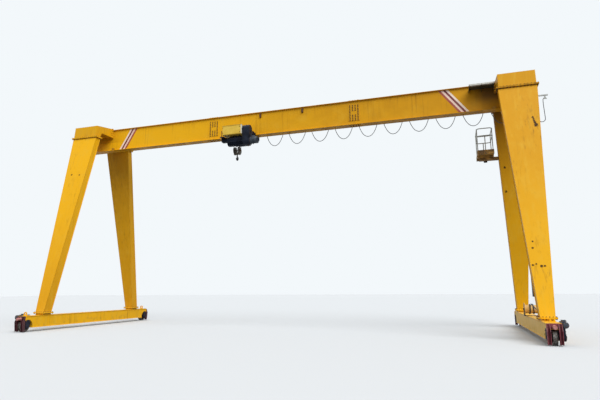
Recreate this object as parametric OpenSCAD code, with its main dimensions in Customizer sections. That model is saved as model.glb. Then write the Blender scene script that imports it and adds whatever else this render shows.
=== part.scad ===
// Single-girder gantry crane on rail wheels, with an underhung rope hoist.
// Origin: mid-span, on the floor under the wheel flanges. +X along the girder, +Z up, millimetres.

/* [Runway] */
// Distance between the middles of the two rails
span = 16500; // [14500:100:19800]

/* [Girder] */
// Height of the girder's underside
girder_z = 7290; // [6500:10:8800]
// Overall height of the girder
girder_h = 914; // [820:2:1000]
// Width of the girder's flanges
girder_w = 350; // [330:5:420]
// Width over the girder's webs
web_w = 230; // [180:5:240]
// Thickness of the girder's flanges
flange_t = 14; // [10:1:20]
// How far the girder runs past the middle of each rail
girder_over = 580; // [580:10:700]
// Distance from mid-span to each bolted splice
splice_x = 2855; // [2400:5:3300]
// Width of a splice plate
splice_w = 420; // [360:10:480]
// Height of a splice plate on the web
splice_h = 620; // [560:10:640]
// Thickness of a splice plate
splice_t = 10; // [8:1:12]

/* [Saddles] */
// Length of a saddle along the girder
saddle_w = 1100; // [1000:10:1140]
// Height of the saddle's arm at the girder
saddle_arm_h = 380; // [320:10:420]
// How far the saddle's top stands over the girder's underside
saddle_top = 950; // [930:5:980]
// How much the saddle's top falls towards its outer end
saddle_fall = 140; // [60:5:180]

/* [Legs] */
// Width of a leg under the saddle, along the girder
leg_top_w = 1140; // [960:10:1140]
// Width of a leg at its foot, along the girder
leg_foot_w = 361; // [300:1:420]
// Thickness of a leg under the saddle, along the rail
leg_top_t = 250; // [220:5:300]
// Thickness of a leg at its foot, along the rail
leg_foot_t = 370; // [320:5:440]
// Distance from the girder's middle plane to a leg's middle at its top
leg_top_y = 1030; // [980:5:1240]
// Distance from the girder's middle plane to a leg's middle at its foot
leg_foot_y = 2520; // [2100:10:2700]
// How far the leg's top flange lies over the girder's underside
leg_top_rise = 310; // [280:5:340]
// How far a leg's cover plates stand over its side plates
leg_lip = 14; // [8:1:20]
// Thickness of the bolted joint flanges
joint_t = 22; // [16:1:30]
// How far the joint flanges stand out
joint_lip = 48; // [35:1:60]

/* [Sills] */
// Height of the sill's underside over the floor
sill_z = 140; // [120:5:170]
// Height of the sill
sill_h = 400; // [380:5:480]
// Width of the sill over its flanges
sill_w = 360; // [340:5:440]
// Length of the sill, end plate to end plate
sill_len = 6880; // [6700:10:7600]
// Height of the seat under each leg
seat_h = 80; // [60:5:100]
// Thickness of a lifting lug
lug_t = 25; // [20:1:32]
// Radius of the hole in a lifting lug
lug_hole_r = 32; // [26:1:38]

/* [Wheels] */
// Radius of the wheel's tread
tread_r = 180; // [160:5:185]
// Height of the wheel's flanges over its tread
wheel_flange = 20; // [15:1:25]
// Width of the wheel over its flanges
wheel_w = 110; // [90:2:130]
// Radius of the wheel's axle
axle_r = 35; // [30:1:45]
// Distance from the sill's end to the wheel's axle
axle_inset = 110; // [100:5:130]
// Radial room for the axle in its bearing housings
axle_gap = 0.05; // [0.02:0.01:0.1]

/* [Trolley] */
// Where the trolley stands on the girder, from mid-span
trolley_x = -1450; // [-1600:10:-1300]
// Length of the trolley's side plates
side_len = 880; // [820:10:1000]
// Radius of the trolley's wheels
troll_r = 62; // [55:1:70]
// Clear height between the girder's underside and what passes under it
under_gap = 60; // [50:5:80]

/* [Hoist] */
// Length of the drum housing
drum_len = 640; // [600:10:700]
// Radius of the drum housing
drum_r = 175; // [150:5:190]
// Distance of the drum's axis from the girder's middle plane
drum_y = 500; // [490:5:540]
// How far the drum's axis lies under the girder's underside
drum_drop = 300; // [280:5:330]
// Height of the yellow control box
box_h = 365; // [300:5:380]
// Radius of the hook block's sheaves
sheave_r = 150; // [130:5:160]
// Radius of the hoist rope
rope_r = 6; // [5:0.5:8]

/* [Power supply] */
// Radius of the cable reel's flanges
reel_r = 185; // [160:5:200]
// Width of the cable reel over its flanges
reel_w = 400; // [340:10:440]
// Height of the control cabinet's underside over the floor
cab_z0 = 1150; // [1150:10:1150]
// Height of the control cabinet
cab_h = 1110; // [900:10:1300]
// Width of the control cabinet along the girder
cab_w = 400; // [340:10:420]
// Depth of the control cabinet along the rail
cab_depth = 190; // [160:5:220]
// Radius of the power cable
riser_r = 16; // [12:1:18]

/* [Hook] */
// Distance from the middle of the hook block to each sheave
fall_dx = 92; // [84:2:100]
// Radius of the hook's shank
shank_r = 22; // [18:1:24]
// Radius of the hook's bow, to the middle of the bar
bow_r = 64; // [56:1:72]
// Half the thickness of the hook's bar
bow_t = 27; // [22:1:30]
// How far the bow's middle hangs under the sheaves' pin
hook_drop = 313; // [290:1:330]

/* [Festoon] */
// Distance of the festoon rail from the girder's middle plane
fest_y = 300; // [290:5:340]
// How far the festoon rail's underside lies over the girder's underside
fest_rise = 440; // [420:5:480]
// Distance from the girder's end to the festoon rail's end
fest_over = 520; // [480:10:600]
// Number of rolling cable carriers
carriers = 10; // [10:1:10]
// Distance between the two fixed cable clamps at the rail's end
clamp_gap = 300; // [280:10:340]
// Distance from the last carrier to the clamp beside it
last_gap = 620; // [560:10:700]
// Depth of the loop between the last carrier and that clamp
last_drop = 772; // [650:1:800]
// Length of the straight falls of the loop between the clamps
end_fall = 681; // [600:1:720]
// Depth of a cable loop under its carriers
loop_drop = 685; // [560:5:720]
// Radius of the festoon cable
cable_r = 11; // [8:1:14]

/* [Service cage] */
// Width of the cage along the girder
cage_w = 560; // [500:10:600]
// Depth of the cage along the rail
cage_d = 1050; // [900:10:1100]
// Height of the cage's floor
cage_z = 6080; // [5600:10:6150]
// How far the cage's middle lies outwards of the leg's middle
cage_shift = 170; // [0:10:200]
// Height of the guard rail over the cage floor
cage_h = 950; // [900:10:1100]
// Radius of the guard rail tube
tube_r = 17; // [14:1:20]

/* [Hidden] */
$fn = 32;

crane_yellow = "#dfa638";
dark_paint = "#232a33";
guard_red = "#74303a";
steel = "#8d8f8f";

girder_end = span / 2 + girder_over;
girder_top = girder_z + girder_h;
leg_top_z = girder_z + leg_top_rise;
sill_top = sill_z + sill_h;
leg_foot_z = sill_top + seat_h + joint_t;
web_h = girder_h - 2 * flange_t;
fit_gap = 0.05;

function mix(a, b, t) = a + (b - a) * t;
function leg_at(z) = (leg_top_z - z) / (leg_top_z - leg_foot_z);
function leg_w(z) = mix(leg_top_w, leg_foot_w, leg_at(z));
function leg_t(z) = mix(leg_top_t, leg_foot_t, leg_at(z));
function leg_y(z) = mix(leg_top_y, leg_foot_y, leg_at(z));

// A box from its lowest corner to its highest corner
module block(low, high) {
    translate(low) cube(high - low);
}

// A profile drawn in Y and Z, pushed along X and centred on x
module along_x(x, length) {
    translate([x - length / 2, 0, 0]) rotate([90, 0, 90]) linear_extrude(length) children();
}

// A round bar along X
module bar_x(x0, x1, y, z, r) {
    translate([x0, y, z]) rotate([0, 90, 0]) cylinder(r = r, h = x1 - x0);
}

// A round bar along Y
module bar_y(x, y0, y1, z, r) {
    translate([x, y0, z]) rotate([-90, 0, 0]) cylinder(r = r, h = y1 - y0);
}

// A round bar along Z
module bar_z(x, y, z0, z1, r) {
    translate([x, y, z0]) cylinder(r = r, h = z1 - z0);
}

// Both ends of the girder: side is -1 at the left rail and 1 at the right rail
module at_rail(side) {
    translate([side * span / 2, 0, 0]) children();
}

// The near frame and the far frame, mirrored on the girder's middle plane
module both_y() {
    children();
    mirror([0, 1, 0]) children();
}

/* girder */

module girder_section(x0, x1) {
    block([x0, -web_w / 2, girder_z + flange_t], [x1, web_w / 2, girder_top - flange_t]);
    for (z = [girder_z, girder_top - flange_t])
        block([x0, -girder_w / 2, z], [x1, girder_w / 2, z + flange_t]);
}

pad_t = 20;
pad_y = girder_w / 2 + pad_t;
pad_z0 = girder_z + saddle_top - saddle_arm_h - 20;
pad_z1 = girder_z + saddle_top + 10;

// The plates on the girder's end that the saddles bolt to, with a rib behind each end
module saddle_pads(side) {
    pad_half = saddle_w / 2 + joint_lip;
    at_rail(side) both_y() {
        block([-pad_half, girder_w / 2, pad_z0], [pad_half, pad_y, pad_z1]);
        for (x = [-pad_half + 30, -10, pad_half - 50])
            block([x, web_w / 2 - 1, pad_z0], [x + 20, girder_w / 2 + 1, girder_top - flange_t]);
    }
}

module girder_end_section(side) {
    end = side * girder_end;
    splice = side * splice_x;
    girder_section(min(end, splice), max(end, splice));
    saddle_pads(side);
}

module girder_left() {
    color(crane_yellow) girder_end_section(-1);
}

module girder_middle() {
    color(crane_yellow) girder_section(-splice_x, splice_x);
}

module girder_right() {
    color(crane_yellow) girder_end_section(1);
}

// Cover plates that bridge each joint of the girder: on both webs and on both flanges
module splice_plates() {
    mid = (girder_z + girder_top) / 2;
    color(crane_yellow) for (x = [-splice_x, splice_x]) {
        both_y() block([x - splice_w / 2, web_w / 2, mid - splice_h / 2],
            [x + splice_w / 2, web_w / 2 + splice_t, mid + splice_h / 2]);
        block([x - splice_w / 2, -girder_w / 2 + 10, girder_top],
            [x + splice_w / 2, girder_w / 2 - 10, girder_top + splice_t]);
        block([x - splice_w / 2, -web_w / 2, girder_z - splice_t],
            [x + splice_w / 2, web_w / 2, girder_z]);
    }
}

/* saddles */

saddle_y0 = pad_y;
saddle_flange_z = leg_top_z + joint_t;
saddle_body_z = saddle_flange_z + joint_t;
saddle_under = girder_z + saddle_top - saddle_arm_h;
saddle_out = leg_top_y + leg_top_t / 2;
saddle_in = leg_top_y - leg_top_t / 2;

// One elbow of a saddle, from the girder's side to the top of a leg
module saddle_elbow() {
    top = girder_z + saddle_top;
    lean = 0.1;
    out_top = saddle_out - lean * (top - saddle_fall - saddle_body_z);
    along_x(0, saddle_w) polygon([
        [saddle_in, saddle_body_z], [saddle_out, saddle_body_z], [out_top, top - saddle_fall],
        [saddle_y0 + pad_t, top], [saddle_y0 + pad_t, saddle_under], [saddle_in - 90, saddle_under]]);
    pad_half = saddle_w / 2 + joint_lip;
    block([-pad_half, saddle_y0, pad_z0], [pad_half, saddle_y0 + pad_t, pad_z1]);
    block([-leg_top_w / 2 - joint_lip, saddle_in - joint_lip, saddle_flange_z],
        [leg_top_w / 2 + joint_lip, saddle_out + joint_lip, saddle_body_z]);
}

module saddle(side) {
    color(crane_yellow) at_rail(side) both_y() saddle_elbow();
}

/* legs */

function ring(z, w, y0, y1) = [[-w / 2, y0, z], [w / 2, y0, z], [w / 2, y1, z], [-w / 2, y1, z]];

// A straight tapered box between two level rings of four corners
module taper(low, high) {
    polyhedron(points = concat(low, high),
        faces = [[0, 1, 2, 3], [7, 6, 5, 4], [0, 4, 5, 1], [1, 5, 6, 2], [2, 6, 7, 3], [3, 7, 4, 0]]);
}

// A leg leaning out from the girder towards +Y: two cover plates over a narrower box
module leg_far() {
    z0 = leg_foot_z;
    z1 = leg_top_z;
    cover = 12;
    y0 = leg_y(z0) - leg_t(z0) / 2;
    y1 = leg_y(z0) + leg_t(z0) / 2;
    y2 = leg_y(z1) - leg_t(z1) / 2;
    y3 = leg_y(z1) + leg_t(z1) / 2;
    inset = 2 * leg_lip;
    taper(ring(z0, leg_w(z0) - inset, y0, y1), ring(z1, leg_w(z1) - inset, y2, y3));
    taper(ring(z0, leg_w(z0), y0, y0 + cover), ring(z1, leg_w(z1), y2, y2 + cover));
    taper(ring(z0, leg_w(z0), y1 - cover, y1), ring(z1, leg_w(z1), y3 - cover, y3));
    block([-leg_top_w / 2 - joint_lip, y2 - joint_lip, z1],
        [leg_top_w / 2 + joint_lip, y3 + joint_lip, z1 + joint_t]);
    block([-leg_foot_w / 2 - joint_lip, y0 - joint_lip, z0 - joint_t],
        [leg_foot_w / 2 + joint_lip, y1 + joint_lip, z0]);
}

// The whole leg at one corner of the crane
module leg(side, y_side) {
    color(crane_yellow) at_rail(side) mirror([0, y_side > 0 ? 0 : 1, 0]) leg_far();
}

/* sills */

sill_end = sill_len / 2;
axle_y = sill_end - axle_inset;
wheel_r = tread_r + wheel_flange;
axle_z = wheel_r;
arch_gap = 15;
arch_r = wheel_r + arch_gap;
sill_flange_t = 12;
sill_web_w = sill_w - 30;
end_plate_t = 14;

// The cut that a wheel turns in, with its bearing housings
module arches() {
    for (y = [-axle_y, axle_y])
        bar_x(-sill_w, sill_w, y, axle_z, arch_r);
}

// The seat and lower joint flange that carries a leg's foot
module leg_seat() {
    y0 = leg_foot_y - leg_foot_t / 2;
    y1 = leg_foot_y + leg_foot_t / 2;
    half = min(leg_foot_w, sill_web_w) / 2;
    block([-half, y0, sill_top - 1], [half, y1, sill_top + seat_h - joint_t]);
    block([-leg_foot_w / 2 - joint_lip, y0 - joint_lip, sill_top + seat_h - joint_t],
        [leg_foot_w / 2 + joint_lip, y1 + joint_lip, sill_top + seat_h]);
}

lug_r = 68;
lug_y = axle_y - 30;
lug_z = sill_top + lug_r;

// A lifting lug on each end of both sills: a round-headed plate with a hole for a shackle's pin
module lifting_lugs() {
    color(crane_yellow) for (side = [-1, 1]) at_rail(side) both_y() difference() {
        union() {
            bar_y(0, lug_y - lug_t / 2, lug_y + lug_t / 2, lug_z, lug_r);
            block([-lug_r, lug_y - lug_t / 2, sill_top], [lug_r, lug_y + lug_t / 2, lug_z]);
        }
        bar_y(0, lug_y - lug_t, lug_y + lug_t, lug_z, lug_hole_r);
    }
}

module sill(side) {
    color(crane_yellow) at_rail(side) {
        difference() {
            union() {
                block([-sill_web_w / 2, -sill_end, sill_z + 1], [sill_web_w / 2, sill_end, sill_top - 1]);
                for (z = [sill_z, sill_top - sill_flange_t])
                    block([-sill_w / 2, -sill_end, z], [sill_w / 2, sill_end, z + sill_flange_t]);
                for (y = [-sill_end, sill_end - end_plate_t])
                    block([-sill_w / 2, y, sill_z], [sill_w / 2, y + end_plate_t, sill_top]);
            }
            arches();
        }
        both_y() leg_seat();
    }
}

/* wheels */

housing_in = wheel_w / 2 + 8;
housing_out = sill_w / 2 - 6;
housing_r = 86;

// A bearing housing on each side of every wheel, held in the crown of its arch
module axle_boxes() {
    color(dark_paint) for (side = [-1, 1], y = [-axle_y, axle_y]) at_rail(side)
        for (s = [-1, 1]) difference() {
            x0 = s > 0 ? housing_in : -housing_out;
            x1 = s > 0 ? housing_out : -housing_in;
            union() {
                bar_x(x0, x1, y, axle_z, housing_r);
                intersection() {
                    block([x0, y - housing_r, axle_z], [x1, y + housing_r, axle_z + arch_r]);
                    bar_x(x0, x1, y, axle_z, arch_r);
                }
            }
            bar_x(x0 - 1, x1 + 1, y, axle_z, axle_r + axle_gap);
        }
}

// A double-flanged rail wheel, turned about X, with its axle
module wheel(side, y_side) {
    rim = 40;
    web = 22;
    hub_r = 74;
    half = wheel_w / 2;
    tread_half = half - 18;
    axle_half = housing_out;
    color(steel) at_rail(side) translate([0, y_side * axle_y, axle_z]) rotate([0, 90, 0])
        rotate_extrude($fn = 72) polygon([
            [0, -axle_half], [axle_r, -axle_half], [axle_r, -half - 3], [hub_r, -half - 3], [hub_r, -web],
            [tread_r - rim, -web], [tread_r - rim, -half], [wheel_r - 5, -half], [wheel_r, -half + 6],
            [wheel_r - 3, -tread_half - 4], [tread_r, -tread_half], [tread_r, tread_half],
            [wheel_r - 3, tread_half + 4], [wheel_r, half - 6], [wheel_r - 5, half], [tread_r - rim, half],
            [tread_r - rim, web], [hub_r, web], [hub_r, half + 3], [axle_r, half + 3], [axle_r, axle_half],
            [0, axle_half]]);
}

/* travel drives */

gearbox_x0 = sill_w / 2;
gearbox_t = 70;
drive_r = 78;
drive_x = gearbox_x0 + drive_r + 6;
drive_z = sill_top - 50;
motor_len = 360;

// The right-angle gearboxes on the outer side of both near wheels, with their input housings
module drive_gearboxes() {
    r_low = 98;
    color(dark_paint) for (side = [-1, 1]) at_rail(side) mirror([side < 0 ? 1 : 0, 0, 0])
        translate([0, -axle_y, 0]) {
            along_x(gearbox_x0 + gearbox_t / 2, gearbox_t) hull() {
                translate([0, axle_z]) circle(r = r_low);
                translate([0, drive_z]) circle(r = drive_r);
            }
            bar_x(gearbox_x0 + gearbox_t, gearbox_x0 + gearbox_t + 16, 0, axle_z, 62);
            bar_y(drive_x, -drive_r, drive_r + 14, drive_z, drive_r);
        }
}

// The travel motors beside the sills, with cooling fins, a fan cowl and a terminal box
module drive_motors() {
    body_r = drive_r - 12;
    fin_r = drive_r - 2;
    color("#3b4248") for (side = [-1, 1]) at_rail(side) mirror([side < 0 ? 1 : 0, 0, 0])
        translate([drive_x, drive_r + 14 - axle_y, drive_z]) {
            bar_y(0, 0, 18, 0, drive_r + 2);
            bar_y(0, 18, motor_len - 70, 0, body_r);
            bar_y(0, motor_len - 70, motor_len, 0, fin_r);
            for (y = [34:14:motor_len - 84])
                bar_y(0, y, y + 5, 0, fin_r - 2);
            block([-45, 40, body_r - 10], [45, 130, body_r + 38]);
        }
}

/* rail guards and buffers */

guard_y0 = sill_end;
guard_depth = 150;
guard_low = 30;
guard_half = sill_w / 2 - 4;
cheek_w = 84;
buffer_z = sill_top - 95;
guard_plate_z = sill_top - 130;

// The forked rail guard on one end of a sill: two cheeks beside the wheel under a cross plate
module rail_guard() {
    plate = 14;
    difference() {
        block([-guard_half, guard_y0, guard_low], [guard_half, guard_y0 + plate, sill_top - 6]);
        block([-guard_half + cheek_w, guard_y0 - 1, guard_low - 1],
            [guard_half - cheek_w, guard_y0 + plate + 1, guard_plate_z]);
    }
    for (x = [-guard_half, guard_half - plate, -guard_half + cheek_w - plate, guard_half - cheek_w])
        along_x(x + plate / 2, plate) polygon([
            [guard_y0 + plate, guard_low], [guard_y0 + guard_depth * 0.55, guard_low],
            [guard_y0 + guard_depth * 0.8, guard_plate_z - 60], [guard_y0 + 40, sill_top - 20],
            [guard_y0 + plate, sill_top - 20]]);
    bar_y(0, guard_y0 + plate, guard_y0 + plate + 26, buffer_z, 56);
}

module rail_guards() {
    color(guard_red) for (side = [-1, 1]) at_rail(side) both_y() rail_guard();
}

buffer_y0 = guard_y0 + 14 + 26;
buffer_len = 150;
buffer_tip = buffer_y0 + buffer_len;

// A rubber buffer on each rail guard, waisted behind its flat nose
module buffers() {
    color("#b0706c") for (side = [-1, 1]) at_rail(side) both_y()
        translate([0, buffer_y0, buffer_z]) rotate([-90, 0, 0]) rotate_extrude($fn = 48) polygon([
            [0, 0], [52, 0], [52, 12], [42, 26], [42, 90], [50, 104], [50, buffer_len - 8],
            [46, buffer_len], [0, buffer_len]]);
}

/* service cage */

cage_gap = 150;
cage_mid_y = leg_y(cage_z) + cage_shift;
cage_x1 = span / 2 - leg_w(cage_z) / 2 - cage_gap;
cage_x0 = cage_x1 - cage_w;
cage_y0 = cage_mid_y - cage_d / 2;
cage_y1 = cage_mid_y + cage_d / 2;
toe_h = 150;

// The floor pan of the cage with its toe boards
module service_cage_floor() {
    floor_t = 8;
    board = 8;
    color(crane_yellow) {
        difference() {
            block([cage_x0, cage_y0, cage_z], [cage_x1, cage_y1, cage_z + toe_h]);
            block([cage_x0 + board, cage_y0 + board, cage_z + floor_t],
                [cage_x1 - board, cage_y1 - board, cage_z + toe_h + 1]);
        }
        for (y = [mix(cage_y0, cage_y1, 0.3), mix(cage_y0, cage_y1, 0.7)])
            block([cage_x0, y - 30, cage_z - 60], [cage_x1, y + 30, cage_z]);
    }
}

// A closed rail of tube with bent corners, seen from above as a rounded rectangle
module rail_ring(z) {
    bend = 110;
    x0 = cage_x0 + tube_r + 8;
    x1 = cage_x1 - tube_r - 8;
    y0 = cage_y0 + tube_r + 8;
    y1 = cage_y1 - tube_r - 8;
    bar_x(x0 + bend, x1 - bend, y0, z, tube_r);
    bar_x(x0 + bend, x1 - bend, y1, z, tube_r);
    bar_y(x0, y0 + bend, y1 - bend, z, tube_r);
    bar_y(x1, y0 + bend, y1 - bend, z, tube_r);
    corners = [[x0 + bend, y0 + bend, 180], [x1 - bend, y0 + bend, 270],
        [x1 - bend, y1 - bend, 0], [x0 + bend, y1 - bend, 90]];
    for (c = corners)
        translate([c[0], c[1], z]) rotate([0, 0, c[2]])
            rotate_extrude(angle = 90) translate([bend, 0]) circle(r = tube_r, $fn = 24);
}

// The guard rail: top and middle rings on posts that stand on the floor pan
module service_cage_rail() {
    inset = 8 + tube_r;
    top = cage_z + cage_h;
    mid = cage_z + cage_h - 270;
    low = cage_z + 8;
    bend = 110;
    mid_x = (cage_x0 + cage_x1) / 2;
    color("#8c8a80") {
        rail_ring(top);
        rail_ring(mid);
        for (x = [cage_x0 + inset, cage_x1 - inset], y = [cage_y0 + inset + bend, cage_y1 - inset - bend])
            bar_z(x, y, low, top, tube_r - 1);
        for (y = [cage_y0 + inset, cage_y1 - inset])
            bar_z(mid_x, y, low, mid, tube_r - 1);
    }
}

// Two channels under the cage floor and the foot plate that they stand on, bolted to the leg's side
module cage_bracket() {
    z1 = cage_z - 60;
    z0 = z1 - 100;
    y = leg_y((z0 + z1) / 2);
    foot = 16;
    face_0 = span / 2 - leg_w(z0) / 2 + leg_lip - fit_gap;
    face_1 = span / 2 - leg_w(z1) / 2 + leg_lip - fit_gap;
    color(crane_yellow) {
        translate([0, y + 90, 0]) rotate([90, 0, 0]) linear_extrude(180)
            polygon([[face_0 - foot, z0], [face_0, z0], [face_1, z1], [face_1 - foot, z1]]);
        for (s = [-1, 1])
            translate([0, y + s * 60, 0]) {
                block([cage_x0 + 60, -s * 25 - 4, z0 + 10], [face_1 - foot + 1, -s * 25 + 4, z1]);
                for (z = [z0, z1 - 10])
                    block([cage_x0 + 60, -25, z], [face_1 - foot + 1, 25, z + 10]);
            }
    }
}

// A floodlight on a stirrup under the cage
module floodlight() {
    x = (cage_x0 + cage_x1) / 2;
    z = cage_z - 145;
    color(dark_paint) {
        block([x - 10, cage_mid_y - 10, z + 25], [x + 10, cage_mid_y + 10, cage_z]);
        translate([x, cage_mid_y, z]) rotate([-70, 0, 0])
            along_x(0, 110) polygon([[-36, -38], [42, -52], [42, 52], [-36, 38]]);
    }
}

/* end platform */

plat_x0 = span / 2 - girder_over - 820;
plat_x1 = span / 2 - saddle_w / 2 - joint_lip - 1;
plat_out = 600;
plat_drop = 130;

// A narrow checker-plate platform on the near side of the girder, beside the right saddle
module end_platform() {
    z = girder_top - plat_drop;
    color("#4a3a24") {
        block([plat_x0, -plat_out, z], [plat_x1, -web_w / 2, z + 8]);
        block([plat_x0, -plat_out, z - 40], [plat_x1, -plat_out + 8, z]);
        for (x = [plat_x0, (plat_x0 + plat_x1) / 2, plat_x1 - 10])
            along_x(x + 5, 10) polygon([
                [-web_w / 2, z], [-plat_out + 8, z], [-plat_out + 8, z - 40], [-web_w / 2, z - 120]]);
    }
}

/* power supply */

reel_pack_r = reel_r - 57;
reel_x = span / 2 - 40;
reel_y = -100;
reel_z = sill_top + reel_r + 20;
reel_pin_r = 22;

// The cable reel between the right legs: two flanges and the wound cable between them, as one drum
module cable_reel() {
    half = reel_w / 2;
    flange = 10;
    color(crane_yellow) translate([reel_x, reel_y, reel_z]) rotate([0, 90, 0]) rotate_extrude($fn = 64)
        polygon([
            [reel_pin_r + axle_gap, -half], [reel_r, -half], [reel_r, -half + flange],
            [reel_pack_r, -half + flange], [reel_pack_r, half - flange], [reel_r, half - flange],
            [reel_r, half], [reel_pin_r + axle_gap, half]]);
}

// The fork and pin that the reel turns on, bolted to the sill's top
module reel_stand() {
    half = reel_w / 2;
    arm_t = 12;
    color("#6a4a2c") translate([reel_x, reel_y, 0]) {
        for (s = [-1, 1])
            along_x(s * (half + 6 + arm_t / 2), arm_t) polygon([
                [-90, sill_top + 10], [90, sill_top + 10], [34, reel_z + 34], [-34, reel_z + 34]]);
        block([-half - 6 - arm_t, -90, sill_top], [half + 6 + arm_t, 90, sill_top + 12]);
        bar_x(-half - 6 - arm_t - 14, half + 6 + arm_t + 14, 0, reel_z, reel_pin_r);
    }
}

cab_z1 = cab_z0 + cab_h;
cab_y = -(leg_y(cab_z1) - leg_t(cab_z1) / 2) + 12;

// The electrical cabinet on the inner side of the right near leg, on two shelves that follow the lean
module control_cabinet() {
    x0 = span / 2 - cab_w / 2;
    door = 10;
    color("#1c1f22") {
        block([x0, cab_y, cab_z0], [x0 + cab_w, cab_y + cab_depth - door, cab_z1]);
        block([x0 + 15, cab_y + cab_depth - door - 1, cab_z0 + 15],
            [x0 + cab_w - 15, cab_y + cab_depth, cab_z1 - 15]);
        for (z = [cab_z0 + 90, cab_z1 - 90])
            translate([span / 2 - cab_w / 2 + 70, 0, 0]) rotate([90, 0, 90]) linear_extrude(cab_w - 140)
                polygon([
                    [cab_y + 1, z - 30], [cab_y + 1, z + 30],
                    [leg_t(z + 30) / 2 - leg_y(z + 30) + fit_gap, z + 30],
                    [leg_t(z - 30) / 2 - leg_y(z - 30) + fit_gap, z - 30]]);
    }
}

// A tube swept along a route of points, with eight sides
function unit(v) = v / norm(v);
function tangent(p, i) = unit(p[min(i + 1, len(p) - 1)] - p[max(i - 1, 0)]);
function side_of(t) = let (s = cross(t, [0, 1, 0])) norm(s) < 0.01 ? [1, 0, 0] : unit(s);
function tube_ring(c, t, r, n) = let (a = side_of(t), b = cross(t, a))
    [for (k = [0:n - 1]) c + r * (cos(360 * k / n) * a + sin(360 * k / n) * b)];
module tube(route, r, n = 8) {
    m = len(route);
    points = [for (i = [0:m - 1]) each tube_ring(route[i], tangent(route, i), r, n)];
    walls = [for (i = [0:m - 2], k = [0:n - 1]) let (a = i * n + k, b = i * n + (k + 1) % n)
        [a, b, b + n, a + n]];
    polyhedron(points = points, faces = concat([[for (k = [n - 1:-1:0]) k]], walls,
        [[for (k = [0:n - 1]) (m - 1) * n + k]]));
}

// The power cable's route from the cabinet's foot to the top of the reel: it hangs in one slack bow
riser_route = [[8210, -1900, 1150], [8210, -1900, 1080], [8210, -1894, 1010], [8210, -1876, 945],
    [8210, -1842, 888], [8210, -1792, 842], [8210, -1722, 808], [8210, -1632, 786], [8210, -1522, 774],
    [8210, -1392, 770], [8210, -1242, 774], [8210, -1082, 786], [8210, -912, 805], [8210, -742, 828],
    [8210, -572, 852], [8210, -412, 874], [8210, -262, 890], [8210, -160, 896], [8210, -100, 897]];
module riser_cable() {
    color("#1c1f22") tube(riser_route, riser_r);
}

/* festoon */

fest_z = girder_z + fest_rise;
fest_h = 40;
fest_wall = 4;
fest_x0 = -girder_end + 900;
fest_x1 = girder_end + fest_over;
tow_x = trolley_x + 600;
clamp_x = fest_x1 - 90;
clamp_in = clamp_x - clamp_gap;
pitch = (clamp_in - last_gap - tow_x) / carriers;
function carrier_x(i) = tow_x + i * pitch;

// The cable lies over each saddle in an arc of this radius and half angle
bend_r = 60;
bend_a = 78;
crest_z = fest_z - 70;
crest_half = bend_r * sin(bend_a);
crest_drop = bend_r * (1 - cos(bend_a));

// A cable saddle: the clamped arc of cable and the rounded block under it, between two hanger plates
module cable_saddle(x, z_top) {
    plate = 5;
    translate([x, fest_y, crest_z - bend_r]) rotate([90, 0, 0]) {
        rotate([0, 0, 90 - bend_a]) rotate_extrude(angle = 2 * bend_a)
            translate([bend_r, 0]) circle(r = cable_r, $fn = 24);
        translate([0, 0, 3 - cable_r]) linear_extrude(2 * cable_r - 6) intersection() {
            circle(r = bend_r);
            translate([-bend_r, bend_r * cos(bend_a) + 2]) square([2 * bend_r, bend_r]);
        }
    }
    for (s = [-1, 1])
        translate([x, fest_y + s * (cable_r + 0.5), 0])
            block([-22, -plate / 2, crest_z - bend_r + 25], [22, plate / 2, z_top]);
    block([x - 22, fest_y - cable_r - 1, z_top - 6], [x + 22, fest_y + cable_r + 1, z_top]);
}

// An arm from the girder's far web to the festoon rail
module fest_arm(x) {
    z = fest_z + fest_h;
    block([x - 25, web_w / 2, z], [x + 25, fest_y + 30, z + 8]);
    block([x - 4, web_w / 2, z + 7], [x + 4, fest_y, z + 45]);
}

// The C-shaped festoon rail on its arms, with two fixed cable clamps at its outer end
module festoon_rail() {
    lip = 11;
    arm_pitch = 2400;
    color("#9a9c98") {
        along_x((fest_x0 + fest_x1) / 2, fest_x1 - fest_x0) translate([fest_y, fest_z]) difference() {
            translate([-fest_h / 2, 0]) square([fest_h, fest_h]);
            translate([-fest_h / 2 + fest_wall, fest_wall])
                square([fest_h - 2 * fest_wall, fest_h - 2 * fest_wall]);
            translate([-fest_h / 2 + lip, -1]) square([fest_h - 2 * lip, fest_wall + 2]);
        }
        for (x = [-girder_end + 1500:arm_pitch:girder_end - 400])
            if (abs(abs(x) - splice_x) > splice_w / 2 + 60) fest_arm(x);
        fest_arm(girder_end - 60);
        for (x = [clamp_in, clamp_x])
            cable_saddle(x, fest_z);
    }
}

roller_r = 12;

// A cable carrier: four rollers in the rail, a hanger and a saddle that holds the cable
module carrier(i) {
    x = carrier_x(i);
    z = fest_z + fest_wall + roller_r + 0.3;
    hang_z = fest_z - 18;
    color("#30343a") {
        translate([x, fest_y, 0]) {
            for (dx = [-18, 18]) {
                bar_y(dx, -14.5, -4.5, z, roller_r);
                bar_y(dx, 4.5, 14.5, z, roller_r);
                bar_y(dx, -5, 5, z, 4);
            }
            block([-22, -3, hang_z - 1], [22, 3, z + 5]);
        }
        cable_saddle(x, hang_z);
    }
}

// One loop's shape: share of the way between two saddles, and share of the loop's depth
half_loop = [[0, 0], [0.015, 0.081], [0.04, 0.204], [0.08, 0.372], [0.13, 0.543], [0.2, 0.722], [0.28, 0.861],
    [0.38, 0.961]];
loop_shape = concat(half_loop, [[0.5, 1]],
    [for (k = [len(half_loop) - 1:-1:0]) [1 - half_loop[k][0], half_loop[k][1]]]);
loop_gap = 0.5;
loop_z = crest_z - crest_drop - loop_gap;
stub_x = 8 * cos(bend_a);
stub_z = 8 * sin(bend_a);

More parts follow.
